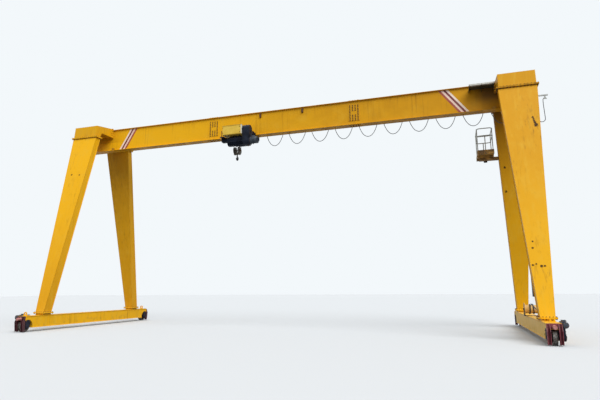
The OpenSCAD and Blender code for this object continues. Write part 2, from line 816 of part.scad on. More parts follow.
// A loop from xa to xb: a short straight length in line with the saddle at both ends, and the slack between
function loop_route(xa, xb, drop) = concat(
    [[xa, fest_y, loop_z], [xa + stub_x, fest_y, loop_z - stub_z]],
    [for (k = [1:len(loop_shape) - 2])
        [mix(xa, xb, loop_shape[k][0]), fest_y, loop_z - loop_shape[k][1] * drop]],
    [[xb - stub_x, fest_y, loop_z - stub_z], [xb, fest_y, loop_z]]);

// The narrow loop between the fixed clamps: two long falls that spread a little, and a round bottom
function narrow_route(xa, xb) = let (
    h = end_fall, spread = 12, r = (xb - xa) / 2 + spread, mid = (xa + xb) / 2,
    fall = [[0, 0], [stub_x, stub_z], [4.5, 30], [6.5, 70], [6.5, 150], [1, 0.45 * h], [-6, 0.7 * h],
        [-10.5, 0.88 * h], [-spread, h]])
    concat([for (p = fall) [xa + p[0], fest_y, loop_z - p[1]]],
        [for (a = [18:18:162]) [mid - r * cos(a), fest_y, loop_z - h - r * sin(a)]],
        [for (k = [len(fall) - 1:-1:0]) [xb - fall[k][0], fest_y, loop_z - fall[k][1]]]);

// The festoon cable's loops, one between each two saddles
module festoon_cable() {
    x0 = crest_half + loop_gap;
    color("#2c2f33") {
        for (i = [0:carriers - 1])
            tube(loop_route(carrier_x(i) + x0, carrier_x(i + 1) - x0, loop_drop), cable_r);
        tube(loop_route(carrier_x(carriers) + x0, clamp_in - x0, last_drop), cable_r);
        tube(narrow_route(clamp_in + x0, clamp_x - x0), cable_r);
    }
}

/* trolley */

// Rubber-faced stops clamped on the bottom flange, at both ends of the trolley's way
stop_x = span / 2 - saddle_w / 2 - 60;
module trolley_stops() {
    color(dark_paint) for (s = [-1, 1]) both_y() translate([s * stop_x, 0, 0]) {
        block([-40, girder_w / 2 - 45, girder_z + flange_t], [40, girder_w / 2, girder_z + flange_t + 90]);
        translate([s < 0 ? 40 : -70, girder_w / 2 - 22, girder_z + flange_t + 55]) rotate([0, 90, 0])
            cylinder(r = 20, h = 30);
    }
}

side_y = girder_w / 2 + 10;
side_t = 16;
wheel_x = side_len / 2 - 130;
cross_z = girder_z - under_gap - 50;
plate_low = girder_z - 215;
rope_z = girder_z - 280;
hook_x = trolley_x - 410;
head_drop = 125;
head_h = 56;
troll_axle_z = girder_z + flange_t + troll_r + 0.3;

// Side plates beside the flange, tie bars under the girder, and the tow arm of the festoon
module trolley_frame() {
    axle = troll_axle_z;
    color(dark_paint) translate([trolley_x, 0, 0]) {
        both_y() side_plate();
        for (x = [-side_len / 2 + 90, 0, side_len / 2 - 90])
            bar_y(x, -side_y - side_t + 4, side_y + side_t - 4, cross_z - 40, 28);
        translate([hook_x - trolley_x, 0, 0])
            block([-150, -side_y - 1, rope_z], [150, side_y + 1, rope_z + 90]);
        block([side_len / 2 - 60, side_y + side_t - 1, axle + 10], [600, side_y + side_t + 9, axle + 80]);
    }
    color(dark_paint) {
        along_x(tow_x - 12, 16) polygon([
            [side_y + side_t - 1, axle + 10], [fest_y - 16, axle + 110], [fest_y - 16, crest_z - 30],
            [fest_y + 16, crest_z - 30], [fest_y + 16, axle + 80], [side_y + side_t + 30, axle + 10]]);
        cable_saddle(tow_x, fest_z - 18);
    }
}

// One side plate, with a hump over each wheel
module side_plate() {
    axle = troll_axle_z;
    translate([0, side_y + side_t, 0]) rotate([90, 0, 0]) linear_extrude(side_t) difference() {
        union() {
            translate([-side_len / 2, plate_low]) square([side_len, axle - plate_low]);
            for (x = [-wheel_x, wheel_x])
                translate([x, axle]) circle(r = 80);
        }
        for (x = [-side_len / 2, side_len / 2])
            translate([x, plate_low]) circle(r = 70);
    }
}

// Four flanged wheels on the bottom flange's ledges, each on a stub axle in its side plate
module trolley_wheels() {
    axle = troll_axle_z;
    inner = web_w / 2 + 20;
    color(steel) translate([trolley_x, 0, 0]) for (x = [-wheel_x, wheel_x]) both_y()
        translate([x, 0, axle]) rotate([-90, 0, 0]) rotate_extrude() polygon([
            [0, inner], [troll_r - 4, inner], [troll_r, inner + 4], [troll_r, girder_w / 2 + 2],
            [troll_r - 2, side_y - 2], [0, side_y - 2]]);
}

drum_z = girder_z - drum_drop;
drum_top = drum_z + drum_r + 22;
drum_x0 = trolley_x - side_len / 2 - 100;
drum_x1 = drum_x0 + drum_len;
gear_w = 270;

// The drum housing on the near side: a ribbed round shell with the limit switch's box on its left end
module hoist_drum() {
    color(dark_paint) {
        bar_x(drum_x0 + 20, drum_x1, -drum_y, drum_z, drum_r - 12);
        bar_x(drum_x0, drum_x0 + 22, -drum_y, drum_z, drum_r);
        for (x = [drum_x0 + 110:90:drum_x1 - 60])
            bar_x(x, x + 12, -drum_y, drum_z, drum_r - 4);
        block([drum_x0 + 30, -drum_y - 40, drum_z + 100], [drum_x1, -side_y - side_t, drum_top]);
        block([drum_x0 - 260, -drum_y - 90, drum_z], [drum_x0 + 1, -drum_y + 80, drum_z + 150]);
    }
}

// The tall round-topped gearbox at the drum's right end
module hoist_gearbox() {
    z_top = girder_z + 285;
    r = 165;
    color(dark_paint) along_x(drum_x1 + gear_w / 2, gear_w) hull() {
        translate([-drum_y - 50, z_top - r]) circle(r = r);
        translate([-drum_y, drum_z]) circle(r = drum_r + 5);
    }
}

// The hoist motor beyond the gearbox, with a fan cowl and a terminal box
module hoist_motor() {
    x0 = drum_x1 + gear_w;
    length = 284;
    r = 130;
    z = drum_z - 15;
    color("#2b323c") {
        bar_x(x0, x0 + 30, -drum_y, z, r + 10);
        bar_x(x0 + 30, x0 + length - 90, -drum_y, z, r - 12);
        bar_x(x0 + length - 90, x0 + length, -drum_y, z, r);
        for (x = [x0 + 50:22:x0 + length - 110])
            bar_x(x, x + 8, -drum_y, z, r - 2);
        block([x0 + 45, -drum_y - 60, z + r - 20], [x0 + 175, -drum_y + 60, z + r + 45]);
    }
}

box_x0 = drum_x0 - 165;
box_x1 = drum_x1 - 15;
box_y0 = -drum_y - 250;
box_y1 = -drum_y + 110;
box_z0 = drum_top + 23;

// The yellow control box over the drum, with a proud door and a bracket under it
module control_box() {
    color("#dcb944") {
        block([box_x0, box_y0 + 14, box_z0], [box_x1, box_y1, box_z0 + box_h]);
        block([box_x0 + 14, box_y0, box_z0 + 14], [box_x1 - 14, box_y0 + 15, box_z0 + box_h - 14]);
        for (x = [drum_x0 + 60, box_x1 - 100])
            block([x, box_y1 - 150, drum_top], [x + 40, box_y1 - 20, box_z0 + 1]);
    }
}

// The counterweight on the far side, with its hanger plates on the side plate
module counterweight() {
    x0 = trolley_x - 560;
    x1 = trolley_x - 60;
    color(dark_paint) {
        block([x0, side_y + side_t + 40, girder_z - 200], [x1, side_y + side_t + 300, girder_z + 70]);
        for (x = [x0 + 130, x1 - 80])
            block([x, side_y + side_t, girder_z - 190], [x + 20, side_y + side_t + 41, girder_z - 80]);
    }
}

/* hook block */

block_z = girder_z - 515;
pin_r = 25;
sheave_half = 22;
cheek_t = 10;
side_gap = 3;
groove = 14;

// Four falls of rope between the crosshead under the girder and the two sheaves
module hoist_rope() {
    y = sheave_r - groove + 1.45 * rope_r;
    color("#6d6d68") for (dx = [-fall_dx, fall_dx], dy = [-y, y])
        bar_z(hook_x + dx, dy, block_z, rope_z, rope_r);
}

// The two grooved rope sheaves, turned about X
module hook_sheaves() {
    h = sheave_half;
    rim_r = sheave_r - groove - 10;
    color("#2a2620") translate([hook_x, 0, block_z]) rotate([0, 90, 0]) for (x = [-fall_dx, fall_dx])
        translate([0, 0, x]) rotate_extrude($fn = 64) polygon([
            [pin_r + axle_gap, -h], [48, -h], [48, -8], [rim_r - 6, -8], [rim_r, -h],
            [sheave_r, -h], [sheave_r, -h + 4], [sheave_r - groove, 0], [sheave_r, h - 4], [sheave_r, h],
            [rim_r, h], [rim_r - 6, 8], [48, 8], [48, h], [pin_r + axle_gap, h]]);
}

// The block that hangs on the sheaves: a pin, cheek plates beside both sheaves, and a bored crosshead
module hook_block() {
    inner = fall_dx - sheave_half - side_gap;
    outer = fall_dx + sheave_half + side_gap;
    foot_z = -sheave_r - 16;
    color("#6f6a5c") translate([hook_x, 0, block_z]) difference() {
        union() {
            bar_x(-outer - cheek_t - 8, outer + cheek_t + 8, 0, 0, pin_r);
            for (x = [-outer - cheek_t / 2, -inner + cheek_t / 2, inner - cheek_t / 2, outer + cheek_t / 2])
                along_x(x, cheek_t) hull() {
                    circle(r = 74);
                    translate([-40, foot_z]) square([80, 10]);
                }
            block([-inner, -42, -head_drop - head_h / 2], [inner, 42, -head_drop + head_h / 2]);
            for (x = [-outer - cheek_t, inner - cheek_t])
                block([x, -40, foot_z], [x + outer - inner + 2 * cheek_t, 40, foot_z + 12]);
        }
        bar_z(0, 0, -head_drop - head_h, -head_drop + head_h, shank_r + axle_gap);
    }
}

// A plain point hook on a shank that turns in the crosshead: a round bow with a tapering tip
module hook() {
    bow_z = block_z - hook_drop;
    head_top = block_z - head_drop + head_h / 2;
    nut_gap = 0.2;
    color("#1f2022") translate([hook_x, 0, 0]) {
        bar_z(0, 0, bow_z + bow_r - 10, head_top + 30, shank_r);
        bar_z(0, 0, head_top + nut_gap, head_top + 26, shank_r + 14);
        translate([0, 0, bow_z]) rotate([90, 0, 90]) {
            rotate([0, 0, 90]) rotate_extrude(angle = -250) translate([bow_r, 0]) circle(r = bow_t, $fn = 24);
            translate([0, bow_r, 0]) sphere(r = bow_t + 2);
            rotate([0, 0, -160]) translate([bow_r, 1, 0]) rotate([90, 0, 0])
                cylinder(r1 = bow_t - 0.5, r2 = 13, h = 36);
        }
    }
}

girder_left();
girder_middle();
girder_right();
splice_plates();
saddle(-1);  // saddle_left
saddle(1);  // saddle_right
leg(-1, -1);  // leg_left_near
leg(-1, 1);  // leg_left_far
leg(1, -1);  // leg_right_near
leg(1, 1);  // leg_right_far
sill(-1);  // sill_left
sill(1);  // sill_right
lifting_lugs();
axle_boxes();
wheel(-1, -1);  // wheel_left_near
wheel(-1, 1);  // wheel_left_far
wheel(1, -1);  // wheel_right_near
wheel(1, 1);  // wheel_right_far
drive_gearboxes();
drive_motors();
rail_guards();
buffers();
service_cage_floor();
service_cage_rail();
cage_bracket();
floodlight();
end_platform();
cable_reel();
reel_stand();
control_cabinet();
riser_cable();
festoon_rail();
carrier(1);  // carrier_1
carrier(2);  // carrier_2
carrier(3);  // carrier_3
carrier(4);  // carrier_4
carrier(5);  // carrier_5
carrier(6);  // carrier_6
carrier(7);  // carrier_7
carrier(8);  // carrier_8
carrier(9);  // carrier_9
carrier(10);  // carrier_10
festoon_cable();
trolley_stops();
trolley_frame();
trolley_wheels();
hoist_drum();
hoist_gearbox();
hoist_motor();
control_box();
counterweight();
hoist_rope();
hook_block();
hook_sheaves();
hook();
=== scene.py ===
import math
import random
import bpy
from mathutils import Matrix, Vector


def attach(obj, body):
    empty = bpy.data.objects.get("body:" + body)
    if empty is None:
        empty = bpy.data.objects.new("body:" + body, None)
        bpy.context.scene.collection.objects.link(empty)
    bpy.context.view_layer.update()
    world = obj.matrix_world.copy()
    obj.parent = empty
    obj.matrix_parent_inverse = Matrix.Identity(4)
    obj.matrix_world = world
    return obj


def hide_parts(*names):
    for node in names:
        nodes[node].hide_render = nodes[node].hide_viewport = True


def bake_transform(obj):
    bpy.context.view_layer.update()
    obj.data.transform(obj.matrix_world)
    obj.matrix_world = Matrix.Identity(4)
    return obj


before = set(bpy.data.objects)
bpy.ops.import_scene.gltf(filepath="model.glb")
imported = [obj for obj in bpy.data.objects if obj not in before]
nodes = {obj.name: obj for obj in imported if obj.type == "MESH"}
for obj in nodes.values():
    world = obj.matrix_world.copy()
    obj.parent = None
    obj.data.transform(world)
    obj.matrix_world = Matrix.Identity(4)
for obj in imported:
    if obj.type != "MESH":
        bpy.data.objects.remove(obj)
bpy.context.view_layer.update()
print("frame loaded:", len(nodes), "nodes")

# camera: the photograph's own viewpoint
viewpoint = {
    "place": (6.0675, -16.8702, 1.3856),
    "turn": (100.43376, 0.355, 17.6609),  # degrees
    "lens": 29.13,
    "sensor": 36.0,
}
lensData = bpy.data.cameras.new("viewpoint")
lensData.lens = viewpoint["lens"]
lensData.sensor_fit = "HORIZONTAL"
lensData.sensor_width = viewpoint["sensor"]
lensData.clip_end = 400.0
camera = bpy.data.objects.new("viewpoint", lensData)
camera.location = viewpoint["place"]
camera.rotation_euler = [math.radians(a) for a in viewpoint["turn"]]
bpy.context.scene.collection.objects.link(camera)
bpy.context.scene.camera = camera
bpy.context.scene.view_settings.view_transform = "Standard"


# shader wiring
def tone(code):
    # a colour written as on a paint card, turned into linear light
    parts = [int(code[i:i + 2], 16) / 255 for i in (0, 2, 4)]
    return tuple(p / 12.92 if p <= 0.04045 else ((p + 0.055) / 1.055) ** 2.4 for p in parts) + (1.0,)


class Wire:
    def __init__(self, finish, socket):
        self.finish = finish
        self.socket = socket

    def calc(self, operation, first, second=0.0):
        return self.finish.node("ShaderNodeMath", {"operation": operation}, {0: first, 1: second})

    def __add__(self, other):
        return self.calc("ADD", self, other)

    def __sub__(self, other):
        return self.calc("SUBTRACT", self, other)

    def __rsub__(self, other):
        return self.calc("SUBTRACT", other, self)

    def __mul__(self, other):
        return self.calc("MULTIPLY", self, other)

    def __abs__(self):
        return self.calc("ABSOLUTE", self)

    __radd__ = __add__
    __rmul__ = __mul__

    def rise(self, low, high):
        # 0 below low, 1 above high, smooth between; low may be the larger one
        return self.finish.node("ShaderNodeMapRange", {"interpolation_type": "SMOOTHSTEP"},
                                {0: self, 1: low, 2: high, 3: 0.0, 4: 1.0})


class Finish:
    def __init__(self, name, roughness=0.5, metallic=0.0, gloss=0.5):
        self.material = bpy.data.materials.new(name)
        self.material.use_nodes = True
        self.tree = self.material.node_tree
        self.shader = self.tree.nodes["Principled BSDF"]
        self.shader.inputs["Roughness"].default_value = roughness
        self.shader.inputs["Metallic"].default_value = metallic
        self.shader.inputs["Specular IOR Level"].default_value = gloss
        self.place = self.node("ShaderNodeTexCoord", {}, {}, "Object")
        self.facing = self.node("ShaderNodeNewGeometry", {}, {}, "Normal")

    def node(self, kind, settings, values, output=0):
        made = self.tree.nodes.new(kind)
        for key, value in settings.items():
            setattr(made, key, value)
        for key, value in values.items():
            self.feed(made.inputs[key], value)
        return Wire(self, made.outputs[output])

    def feed(self, socket, value):
        if isinstance(value, Wire):
            self.tree.links.new(value.socket, socket)
        else:
            socket.default_value = value

    def axes(self, vector):
        made = self.tree.nodes.new("ShaderNodeSeparateXYZ")
        self.feed(made.inputs[0], vector)
        return [Wire(self, made.outputs[i]) for i in range(3)]

    def noise(self, size, detail=3.0, roughness=0.55, stretch=None):
        where = self.place
        if stretch:
            where = self.node("ShaderNodeVectorMath", {"operation": "MULTIPLY"}, {0: where, 1: stretch})
        return self.node("ShaderNodeTexNoise", {},
                         {"Vector": where, "Scale": 1 / size, "Detail": detail, "Roughness": roughness})

    def cells(self, size):
        return self.node("ShaderNodeTexVoronoi", {}, {"Vector": self.place, "Scale": 1 / size})

    def near(self, spot, radius):
        # 1 in the middle of a ragged spot, 0 outside it
        away = self.node("ShaderNodeVectorMath", {"operation": "DISTANCE"}, {0: self.place, 1: spot}, 1)
        return (away + (self.noise(radius * 0.6) - 0.5) * radius * 1.6).rise(radius, radius * 0.55)

    def mix(self, mask, under, over):
        return self.node("ShaderNodeMix", {"data_type": "RGBA"}, {0: mask, 6: under, 7: over}, 2)

    def layered(self, base, layers):
        # colours laid over a base colour, each through its mask
        body = tone(base)
        for mask, code in layers:
            body = self.mix(mask, body, tone(code))
        return body

    def colour(self, value):
        self.feed(self.shader.inputs["Base Color"], value)

    def rough(self, value):
        self.feed(self.shader.inputs["Roughness"], value)

    def bump(self, height, depth):
        made = self.node("ShaderNodeBump", {}, {"Height": height, "Distance": depth})
        self.feed(self.shader.inputs["Normal"], made)


# geometry
def vectors(points):
    return [Vector(p) for p in points]


def turnOf(count, start=0.0):
    # the angles of one whole turn in equal steps
    return [start + 2 * math.pi * k / count for k in range(count)]


def onRing(centre, out, r, a):
    # the point at angle a on a ring whose axis, out, lies along x, y or z
    x, y, z = centre
    c, s = r * math.cos(a), r * math.sin(a)
    if out[0]:
        return (x, y + c, z + s)
    return (x + c, y, z + s) if out[1] else (x + c, y + s, z)


def evenly(low, high, pitch):
    # places from low to high, as near to the pitch as whole steps allow
    count = max(1, round((high - low) / pitch))
    return [low + (high - low) * i / count for i in range(count + 1)]


def aside(direction):
    # two unit vectors square to a direction and to each other
    d = Vector(direction).normalized()
    seed = Vector((0, 0, 1)) if abs(d.z) < 0.9 else Vector((1, 0, 0))
    u = d.cross(seed).normalized()
    return u, d.cross(u)


def flow(points, steps):
    # a smooth line through points
    p = vectors(points)
    p = [2 * p[0] - p[1]] + p + [2 * p[-1] - p[-2]]
    line = []
    for i in range(1, len(p) - 2):
        for k in range(steps):
            t = k / steps
            line.append(0.5 * (2 * p[i] + (p[i + 1] - p[i - 1]) * t
                               + (2 * p[i - 1] - 5 * p[i] + 4 * p[i + 1] - p[i + 2]) * t * t
                               + (3 * p[i] - p[i - 1] - 3 * p[i + 1] + p[i + 2]) * t ** 3))
    return line + [p[-2]]


class Shape:
    def __init__(self):
        self.points = []
        self.faces = []
        self.paints = []

    def add(self, points, faces, paint=0):
        base = len(self.points)
        self.points += [tuple(p) for p in points]
        self.faces += [tuple(base + i for i in f) for f in faces]
        self.paints += [paint] * len(faces)

    def loft(self, rings, paint=0, caps=True, closed=False):
        n, m = len(rings[0]), len(rings)
        faces = []
        for i in range(m if closed else m - 1):
            a, b = i * n, (i + 1) % m * n
            faces += [(a + k, a + (k + 1) % n, b + (k + 1) % n, b + k) for k in range(n)]
        if caps and not closed:
            faces += [tuple(range(n - 1, -1, -1)), tuple(range((m - 1) * n, m * n))]
        self.add([p for ring in rings for p in ring], faces, paint)

    def turned(self, profile, at, axis, sides=24, paint=0):
        # profile: (distance along the axis, radius) from one end to the other
        d = Vector(axis).normalized()
        u, v = aside(d)
        self.loft([[Vector(at) + d * h + r * (math.cos(a) * u + math.sin(a) * v) for a in turnOf(sides)]
                   for h, r in profile], paint)

    def rod(self, start, end, r, sides=12, edge=0.0, paint=0):
        d = Vector(end) - Vector(start)
        e = min(edge, d.length / 2.5)
        ends = [(0, r - e), (e, r), (d.length - e, r), (d.length, r - e)] if e else [(0, r), (d.length, r)]
        self.turned(ends, start, d, sides, paint)

    def block(self, low, high, edge=0.002, paint=0):
        (x0, y0, z0), (x1, y1, z1) = low, high
        e = min(edge, (x1 - x0) / 3, (y1 - y0) / 3, (z1 - z0) / 3)

        def ring(z, g):
            a, b, c, d = x0 + g, x1 - g, y0 + g, y1 - g
            return [(a + e, c, z), (b - e, c, z), (b, c + e, z), (b, d - e, z),
                    (b - e, d, z), (a + e, d, z), (a, d - e, z), (a, c + e, z)]
        self.loft([ring(z0, e), ring(z0 + e, 0), ring(z1 - e, 0), ring(z1, e)], paint)

    def plate(self, outline, thickness, paint=0):
        # a flat outline of 3-D points, pushed along thickness
        p = vectors(outline)
        self.loft([p, [q + Vector(thickness) for q in p]], paint)

    def tube(self, path, r, sides=12, paint=0, closed=False):
        p = vectors(path)
        n = len(p)
        rings = []
        u = None
        for i in range(n):
            before = p[i - 1] if (i or closed) else p[0]
            after = p[(i + 1) % n] if (i < n - 1 or closed) else p[-1]
            d = (after - before).normalized()
            u = aside(d)[0] if u is None else (u - d * u.dot(d)).normalized()
            v = d.cross(u)
            rings.append([p[i] + r * (math.cos(a) * u + math.sin(a) * v) for a in turnOf(sides)])
        self.loft(rings, paint, closed=closed)

    def bolt(self, at, out, size, paint=0, nut=False):
        # a hexagon head on a washer; size is its width across the flats
        w, r, h = size * 0.13, size * 0.577, size * 0.62
        self.turned([(0, size * 0.93), (w * 0.7, size * 0.93), (w, size * 0.86)], at, out, 14, paint)
        top = Vector(at) + Vector(out) * w
        self.turned([(0, r), (h * 0.8, r), (h, r * 0.84)], top, out, 6, paint)
        if nut:
            stub = size * 0.29
            self.turned([(h * 0.9, stub), (h * 1.5, stub), (h * 1.6, size * 0.24)], top, out, 8, paint)

    def through(self, head, nut, out, size, paint=0):
        # a bolt through a joint: its head on one face and its nut on the other
        self.bolt(head, out, size, paint)
        self.bolt(nut, [-c for c in out], size, paint, nut=True)

    def boltRing(self, centre, out, r, turns, size, paint=1):
        for a in turns:
            self.bolt(onRing(centre, out, r, a), out, size, paint)

    def nutOn(self, at, out, washer, nut, sides, paint=1):
        # a round washer and the nut on it, each by its profile
        self.turned(washer, at, out, sides, paint)
        self.turned(nut, at, out, 6, paint)

    def seam(self, start, end, sideA, sideB, size, step):
        # a fillet weld in the corner between two plates
        start, end = Vector(start), Vector(end)
        a, b = Vector(sideA), Vector(sideB)
        count = max(2, int((end - start).length / step))
        rings = []
        for i in range(count + 1):
            p = start.lerp(end, i / count)
            s = size * (1 + dice.uniform(-0.16, 0.16))
            rings.append([p - 0.3 * s * (a + b), p + a * s, p + (a + b) * s * 0.56, p + b * s])
        self.loft(rings)

    def piece(self, name, body, slot, finishes, smooth=32):
        # a piece given no body here is left unattached
        mesh = bpy.data.meshes.new(name)
        mesh.from_pydata([tuple(p) for p in self.points], [], self.faces)
        for finish in finishes if isinstance(finishes, list) else [finishes]:
            mesh.materials.append(finish.material)
        mesh.polygons.foreach_set("material_index", self.paints)
        mesh.validate()
        made = bpy.data.objects.new(name, mesh)
        bpy.context.scene.collection.objects.link(made)
        mesh.shade_smooth()
        mesh.set_sharp_from_angle(angle=math.radians(smooth))
        if body:
            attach(made, body)
        return made


dice = random.Random(41)
rail = 8.25  # from mid-span to the middle of each ground rail
sides = (-1, 1)
corners = [(end, side) for end in sides for side in sides]
alongX, down = (1, 0, 0), (0, 0, -1)


# finishes
def yellowEnamel():
    look = {"deep": "dd9f16", "painted_light": "f4b714", "faded": "e8b838", "stain_and_shade": "8a5a14", "dust": "b3a184",
            "rust": "44230f", "mud": "8a7248", "shade_and_grime": "4a3526", "scar": "2a1509", "painted_ground_light": "ffe28a"}
    paint = Finish("yellow enamel", 0.42, gloss=0.14)
    x, y, z = paint.axes(paint.place)
    up = paint.axes(paint.facing)[2]
    upright = 1 - abs(up)
    runs = paint.noise(0.07, 4, 0.6, (1, 1, 0.045)).rise(0.5, 0.76)
    wide = paint.noise(0.9, 2, 0.5, (1, 1, 0.4)).rise(0.4, 0.7)
    onLegs = abs(y).rise(0.3, 0.8) * upright
    pale = paint.noise(0.12, 3, 0.6, (1, 1, 0.06)).rise(0.5, 0.7)
    drips = paint.noise(0.022, 2, 0.5, (1, 1, 0.02)).rise(0.62, 0.74) * paint.noise(0.5, 2).rise(0.5, 0.66)
    specks = (paint.cells(0.11) + paint.noise(0.03) * 0.25).rise(0.2, 0.12)
    specks = specks * paint.noise(0.7).rise(0.55, 0.68)
    low = z.rise(0.7, 0.12) * paint.noise(0.18, 5, 0.65).rise(0.46, 0.76)
    web = z.rise(7.28, 7.31) * abs(y).rise(0.19, 0.17) * upright
    # painted shadow under the end platform, with some grime
    shade_and_grime = web * y.rise(0, -0.1) * x.rise(6.9, 7.45) * (z + paint.noise(0.3, 3) * 0.14).rise(7.46, 7.92)
    shaded = y.rise(0.8, 0.9) * x.rise(6, 7)
    band = abs(z - 7.622).rise(0.05, 0.035) * abs(y).rise(0.8, 0.85) * (x.rise(-1, 1) * 0.6 + 0.4)
    layers = [
        # painted light and shade: brightness falls along the girder from left to right, down the left legs
        # and up the right ones
        ((x * (z - 3.5) + paint.noise(1.6, 3) * 30).rise(45, -15), "painted_light"),
        # painted light low down, brightening the sills
        (z.rise(0.75, 0.5) * 0.9, "painted_light"),
        # painted shade on the far left leg, growing darker towards its top
        (y.rise(0.8, 0.9) * x.rise(-6, -7) * z.rise(1.2, 7) * 0.42, "stain_and_shade"),
        (paint.noise(0.42, 4, 0.62).rise(0.5, 0.74) * 0.3, "faded"),
        (runs * wide * (upright * 0.5 + onLegs * 0.3), "stain_and_shade"),
        (pale * onLegs * 0.4, "faded"),
        (drips * upright * 0.45, "stain_and_shade"),
        (specks * 0.8, "rust"),
        (up.rise(0.6, 0.95) * paint.noise(0.25, 5).rise(0.34, 0.7) * 0.6, "dust"),
        (low * 0.45, "mud"),
        # painted shade, with some grime, on faces that look down
        (up.rise(-0.6, -0.95) * paint.noise(0.3, 4).rise(0.3, 0.7) * 0.6, "stain_and_shade"),
        # the girder's web grows duller towards the right; painted shadow, with some grime, darkens it near
        # the right end and under the end platform
        (web * x.rise(-4.5, 1.5) * (0.05 + paint.noise(0.5, 4).rise(0.3, 0.7) * 0.14), "stain_and_shade"),
        (web * x.rise(6.5, 7.7) * 0.3, "stain_and_shade"),
        (shade_and_grime * 0.75, "shade_and_grime"),
        # the left saddle is a little duller than its legs
        (x.rise(-7, -7.6) * z.rise(7.63, 7.66) * 0.24, "stain_and_shade"),
        # painted shade on the far right leg under the girder
        (shaded * z.rise(5, 6.4) * 0.25, "stain_and_shade"),
        (shaded * z.rise(6.75, 7.6) * z.rise(7.66, 7.62) * 0.66, "shade_and_grime"),
        # painted light from the ground lifts the inner face of the right sill pale
        (upright * x.rise(7, 7.5) * x.rise(8.16, 8.13) * z.rise(0.6, 0.56) * 0.42, "painted_ground_light"),
        # rusty bands where the legs are bolted to the saddles
        (band * (paint.noise(0.09, 4, 0.6).rise(0.3, 0.62) * 0.4 + 0.08), "rust"),
    ]
    layers += [(paint.near(spot, size) * 0.95, "scar") for spot, size in yellowScuffs]
    paint.colour(paint.layered(look["deep"], [(mask, look[name]) for mask, name in layers]))
    paint.rough(0.4 + paint.noise(0.2, 4) * 0.16 + low * 0.25 + specks * 0.3)
    paint.bump(paint.noise(0.9, 2) * 0.8 + paint.noise(0.006, 2) * 0.05 - specks * 0.12, 0.006)
    return paint


yellowScuffs = [  # bare and rusty marks: place and radius
    ((-8.435, -1.518, 5.97), 0.045), ((-8.047, -1.525, 5.94), 0.04), ((8.56, -1.412, 6.46), 0.04),
    ((8.568, -1.43, 6.4), 0.042), ((8.58, -1.44, 6.34), 0.045), ((8.6, -1.45, 6.28), 0.05),
    ((8.622, -1.465, 6.2), 0.075), ((8.115, -2.26, 2.64), 0.03), ((8.1, -2.3, 2.46), 0.035),
    ((8.05, -2.405, 1.99), 0.035), ((8.14, -2.398, 2.02), 0.03), ((8.26, -2.411, 1.96), 0.045),
    ((8.34, -2.41, 1.965), 0.035), ((7.937, 1.316, 5.6), 0.05), ((7.94, 1.489, 4.76), 0.05),
]


def machineEnamel(name, deep, light, dirt, gloss=0.4, greasy=0.5, left_shade=0):
    paint = Finish(name, 0.45, gloss=gloss)
    up = paint.axes(paint.facing)[2]
    oil = paint.noise(0.12, 3, 0.6, (1, 1, 0.3)).rise(0.56, 0.7)
    chips = paint.cells(0.05).rise(0.16, 0.1) * paint.noise(0.2).rise(0.56, 0.66)
    layers = [
        (paint.noise(0.22, 4).rise(0.35, 0.7), light),
        (up.rise(0.3, 0.95) * paint.noise(0.06, 5).rise(0.3, 0.7) * 0.55, dirt),
        (oil * greasy, "0b0d10"),
        (chips, "6d6a64"),
    ]
    if left_shade:  # painted shade, darker at the left rail
        layers.append((paint.axes(paint.place)[0].rise(1, -1) * left_shade, "120e10"))
    paint.colour(paint.layered(deep, layers))
    paint.rough(0.5 - oil * 0.28 + chips * 0.1 + paint.noise(0.03, 3) * 0.1)
    paint.bump(paint.noise(0.004, 2) * 0.3 + paint.noise(0.05, 3) - chips * 0.2, 0.0012)
    return paint


def bareSteel(name, clean, dark, rust, amount, roughness=0.36, metal=0.9):
    steel = Finish(name, roughness, metal)
    rusty = steel.noise(0.035, 5, 0.65).rise(0.62 - amount * 0.3, 0.78 - amount * 0.2)
    steel.colour(steel.layered(clean, [(steel.noise(0.05, 5).rise(0.3, 0.7), dark), (rusty, rust)]))
    steel.feed(steel.shader.inputs["Metallic"], metal - rusty * metal * 0.9)
    steel.rough(roughness + rusty * 0.4 + steel.noise(0.01, 2) * 0.1)
    steel.bump(steel.noise(0.004, 3) * (0.3 + rusty), 0.0008)
    return steel


def rubberSkin(name, deep, light, roughness=0.7):
    skin = Finish(name, roughness)
    dusty = skin.noise(0.02, 3).rise(0.62, 0.72) * 0.35
    skin.colour(skin.layered(deep, [(skin.noise(0.09, 5).rise(0.35, 0.7), light), (dusty, "b8b2a8")]))
    skin.rough(roughness + skin.noise(0.05, 3) * 0.2 - 0.1)
    skin.bump(skin.noise(0.003, 3), 0.0006)
    return skin


yellow = yellowEnamel()
darkEnamel = machineEnamel("hoist enamel", "161a24", "262c3a", "6d707c", gloss=0.12)
drumEnamel = machineEnamel("drum enamel", "0a0f1a", "171f2e", "5d6270", gloss=0.08, greasy=0.4)
motorEnamel = machineEnamel("motor enamel", "39424c", "4a545e", "7a766c")
cabinetEnamel = machineEnamel("cabinet enamel", "26292d", "34383c", "6a655a")
maroon = machineEnamel("guard enamel", "73303a", "8b444b", "8a6c5c", left_shade=0.72)
boxYellow = machineEnamel("control box enamel", "dcb840", "e8c650", "c8b87c", greasy=0.05)
reelCream = machineEnamel("reel enamel", "d3a452", "e3ba74", "c2ae8c", greasy=0.1)
